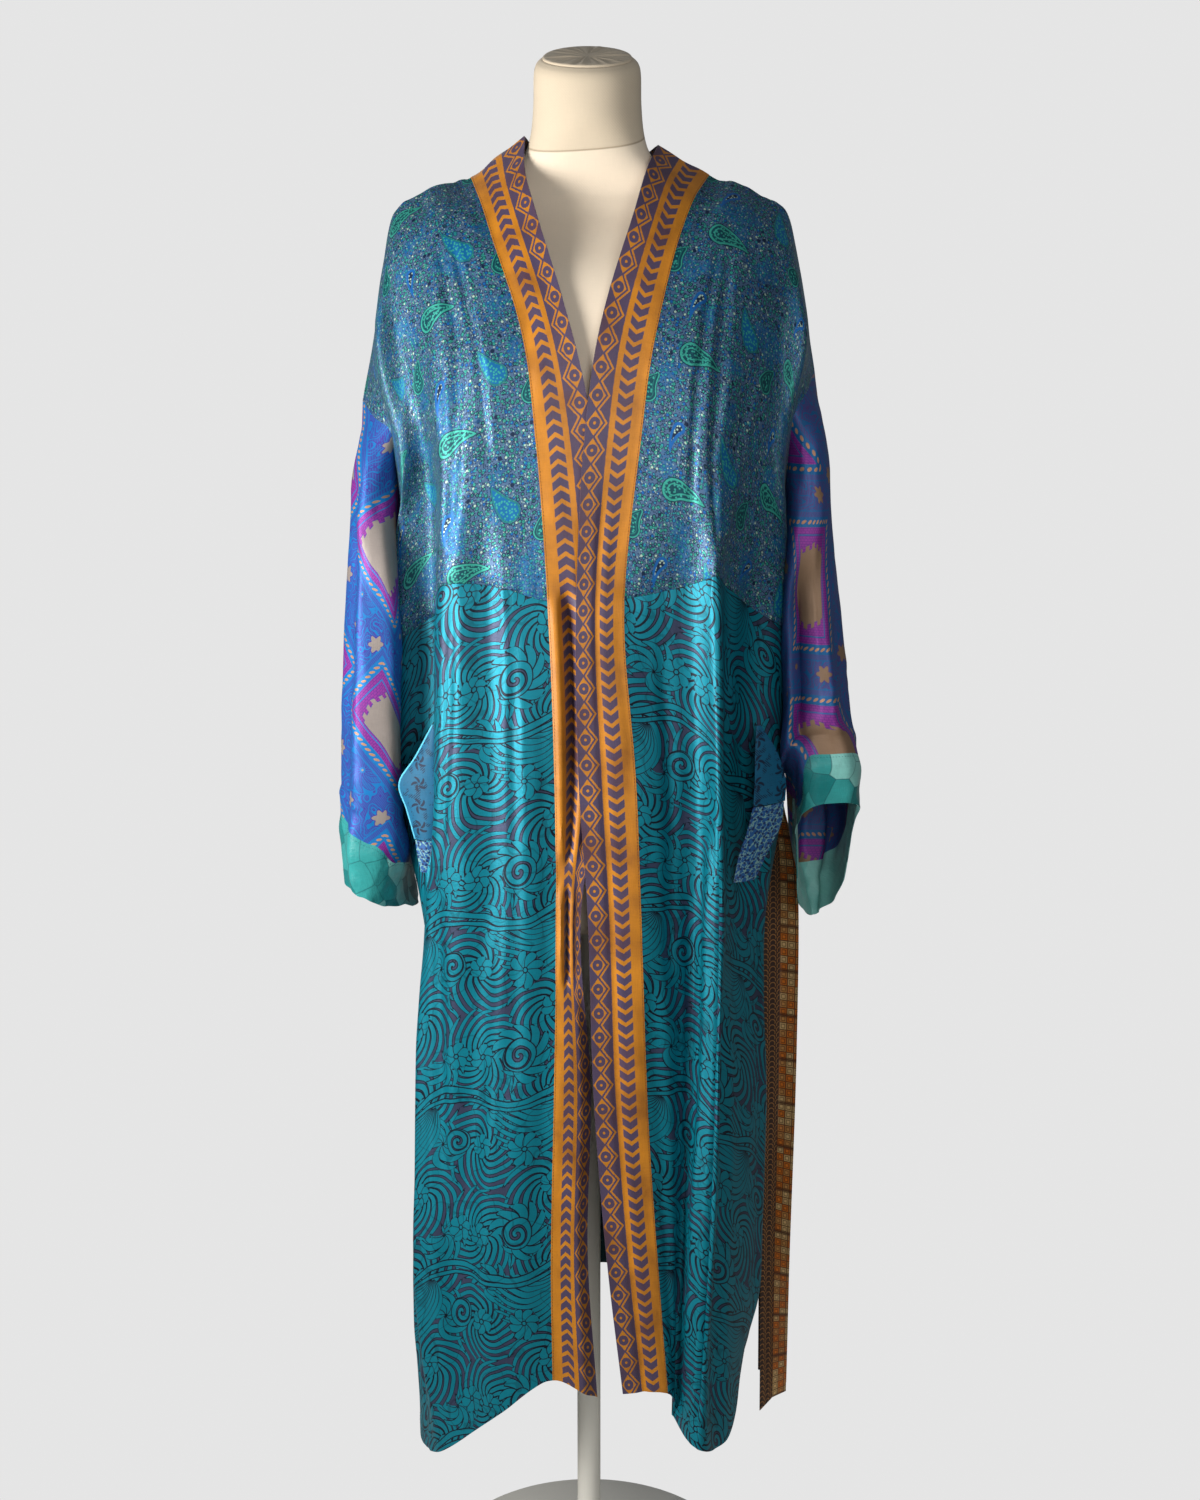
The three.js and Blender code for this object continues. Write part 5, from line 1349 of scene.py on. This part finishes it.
form = {
    "around": 120,
    "fine": 6,
    "squareness": 0.82,
    "neckLean": math.tan(math.radians(17)),
    # height, half width, depth to the front and to the back
    "sections": [
        (752, 112, 82, 78), (758, 134, 98, 94), (775, 146, 106, 100), (840, 153, 110, 101),
        (920, 154, 110, 98), (1000, 140, 103, 86), (1085, 126, 97, 76), (1180, 158, 114, 90),
        (1260, 171, 120, 98), (1330, 176, 109, 100), (1385, 179, 90, 94), (1424, 178, 56, 62),
        (1444, 168, 38, 46), (1457, 148, 30, 38), (1467, 122, 26, 34), (1477, 97, 27, 36),
        (1490, 74, 32, 42), (1505, 60, 37, 50), (1524, 54, 41, 57), (1550, 51.5, 46, 61),
        (1576, 51, 46, 60), (1586, 49, 44, 58), (1591, 44, 39, 53),
    ],
    "cap": {"half": 42.5, "front": 37.5, "back": 51.5, "height": 2.4},
}


def closedRings(name, rings, material, slotName, node):
    # a closed skin over stacked rings
    return standsFor(softened(addPiece(name, *cappedRings(rings), [material])), node, slotName)


def formRings(sections, squareness, lean):
    # each section is a squared ring, its width and depth as powers of the cosine and sine
    angle = np.linspace(0, 2 * np.pi, form["around"], endpoint=False)[None]
    c, s = np.cos(angle), np.sin(angle)
    height, half, front, back = (sections[:, k:k + 1] for k in range(4))
    wide = np.sign(c) * np.abs(c) ** squareness * half
    depth = np.sign(s) * np.abs(s) ** squareness * np.where(s < 0, front, back)
    return np.stack([wide, depth, height + lean * depth], -1)


sections = np.array(form["sections"], float)
knots = np.arange(len(sections))
fine = hermite(knots, sections, between(knots, [form["fine"]] * (len(knots) - 1)))
neckShare = ease((fine[:, :1] - 1500) / 60)
torsoRings = formRings(fine, form["squareness"] + (1 - form["squareness"]) * neckShare,
                       form["neckLean"] * neckShare)
formPiece = closedRings("formTorso", torsoRings, silks["jersey"], "form_jersey", "form_torso")
cap = form["cap"]
capFoot = sections[-1, 0] + 0.3
capSteps = ((0, 0), (0.6, 0), (0.9, 0.6), (1, 2), (1.05, 12), (1.1, 24), (1.1, 36))  # share of height, inset
capRows = np.array([(capFoot + cap["height"] * rise, *(cap[key] - inset for key in ("half", "front", "back")))
                    for rise, inset in capSteps])
capRings = formRings(capRows, 1, form["neckLean"])
capTurn = np.linspace(0, 2 * np.pi, form["around"], endpoint=False)[None]
gathers = np.cos(19 * capTurn + 1) + 0.7 * np.cos(13 * capTurn + 2.4) + 0.5 * np.cos(29 * capTurn)
capRings[..., 2] += np.array([0, 0, 0, 0.15, 0.55, 0.5, 0.1])[:, None] * gathers
closedRings("formCap", capRings, silks["jersey"], "cap_jersey", "form_neck_cap")

stand = {
    "around": 96,
    "pole": [(8.3, 12.5), (751.7, 12.5)],  # height and radius
    "base": [(0, 165), (6.4, 165), (7.4, 164.4), (8, 163), (8, 60)],
}


def turned(name, profile, node):
    # a profile of height and radius turned round the upright axis
    angle = np.linspace(0, 2 * np.pi, stand["around"], endpoint=False)[None]
    height, radius = np.array(profile, float).T[:, :, None]
    rings = np.stack([radius * np.cos(angle), radius * np.sin(angle), height + 0 * angle], -1)
    return closedRings(name, rings, silks["paint"], "stand_paint", node)


turned("standPole", stand["pole"], "stand_pole")
turned("standBase", stand["base"], "stand_base")
print("form and stand made")

# floor and light

studio = {"floor": 12, "paper": 0.785, "air": 0.16}


def paleToCamera(tree, dim, out):
    # seen straight from the camera it glows with one pale tone, else it gives the dim light
    glow = tree.nodes.new("ShaderNodeEmission" if out.type == "OUTPUT_MATERIAL" else "ShaderNodeBackground")
    glow.inputs["Color"].default_value = (studio["paper"],) * 3 + (1,)
    glow.inputs["Strength"].default_value = 1
    seen, mix = tree.nodes.new("ShaderNodeLightPath"), tree.nodes.new("ShaderNodeMixShader")
    tree.links.new(seen.outputs["Is Camera Ray"], mix.inputs[0])
    tree.links.new(dim.outputs[0], mix.inputs[1])
    tree.links.new(glow.outputs[0], mix.inputs[2])
    tree.links.new(mix.outputs[0], out.inputs[0])


floorMesh = bpy.data.meshes.new("studioFloor")
half = studio["floor"]
floorMesh.from_pydata([(-half, -half, -0.0005), (half, -half, -0.0005), (half, half, -0.0005),
                       (-half, half, -0.0005)], [], [(0, 1, 2, 3)])
floor = bpy.data.objects.new("studioFloor", floorMesh)
scene.collection.objects.link(floor)
paper = paintFinish("floorPaper")
paperNodes = paper.node_tree.nodes
paleToCamera(paper.node_tree, paperNodes["Principled BSDF"], paperNodes["Material Output"])
floorMesh.materials.append(paper)

world = bpy.data.worlds.new("studioAir")
world.use_nodes = True
air = world.node_tree.nodes["Background"]
air.inputs["Color"].default_value = (0.86, 0.93, 1, 1)
air.inputs["Strength"].default_value = studio["air"]
paleToCamera(world.node_tree, air, world.node_tree.nodes["World Output"])
scene.world = world
scene.view_settings.view_transform = "Standard"


def softLight(name, place, aim, size, power, spread, colour=(1, 1, 1)):
    # a rectangle of light turned so that it faces what it aims at
    lamp = bpy.data.lights.new(name, "AREA")
    lamp.shape, lamp.size, lamp.size_y = "RECTANGLE", size[0], size[1]
    lamp.energy, lamp.color, lamp.spread = power, colour, math.radians(spread)
    holder = bpy.data.objects.new(name, lamp)
    holder.location = place
    way = np.array(aim, float) - np.array(place, float)
    tilt = math.atan2(math.hypot(way[0], way[1]), -way[2])
    holder.rotation_euler = (tilt, 0, math.atan2(-way[0], way[1]))
    scene.collection.objects.link(holder)


softLight("keyLight", (-1.3, -1.0, 1.12), (0, 0, 1.15), (0.6, 0.9), 17.5, 110, (1, 0.99, 0.97))
softLight("fillLight", (0.5, -2.3, 1.5), (0, 0, 1.2), (1.2, 1.2), 8.5, 120)
print("studio lit")
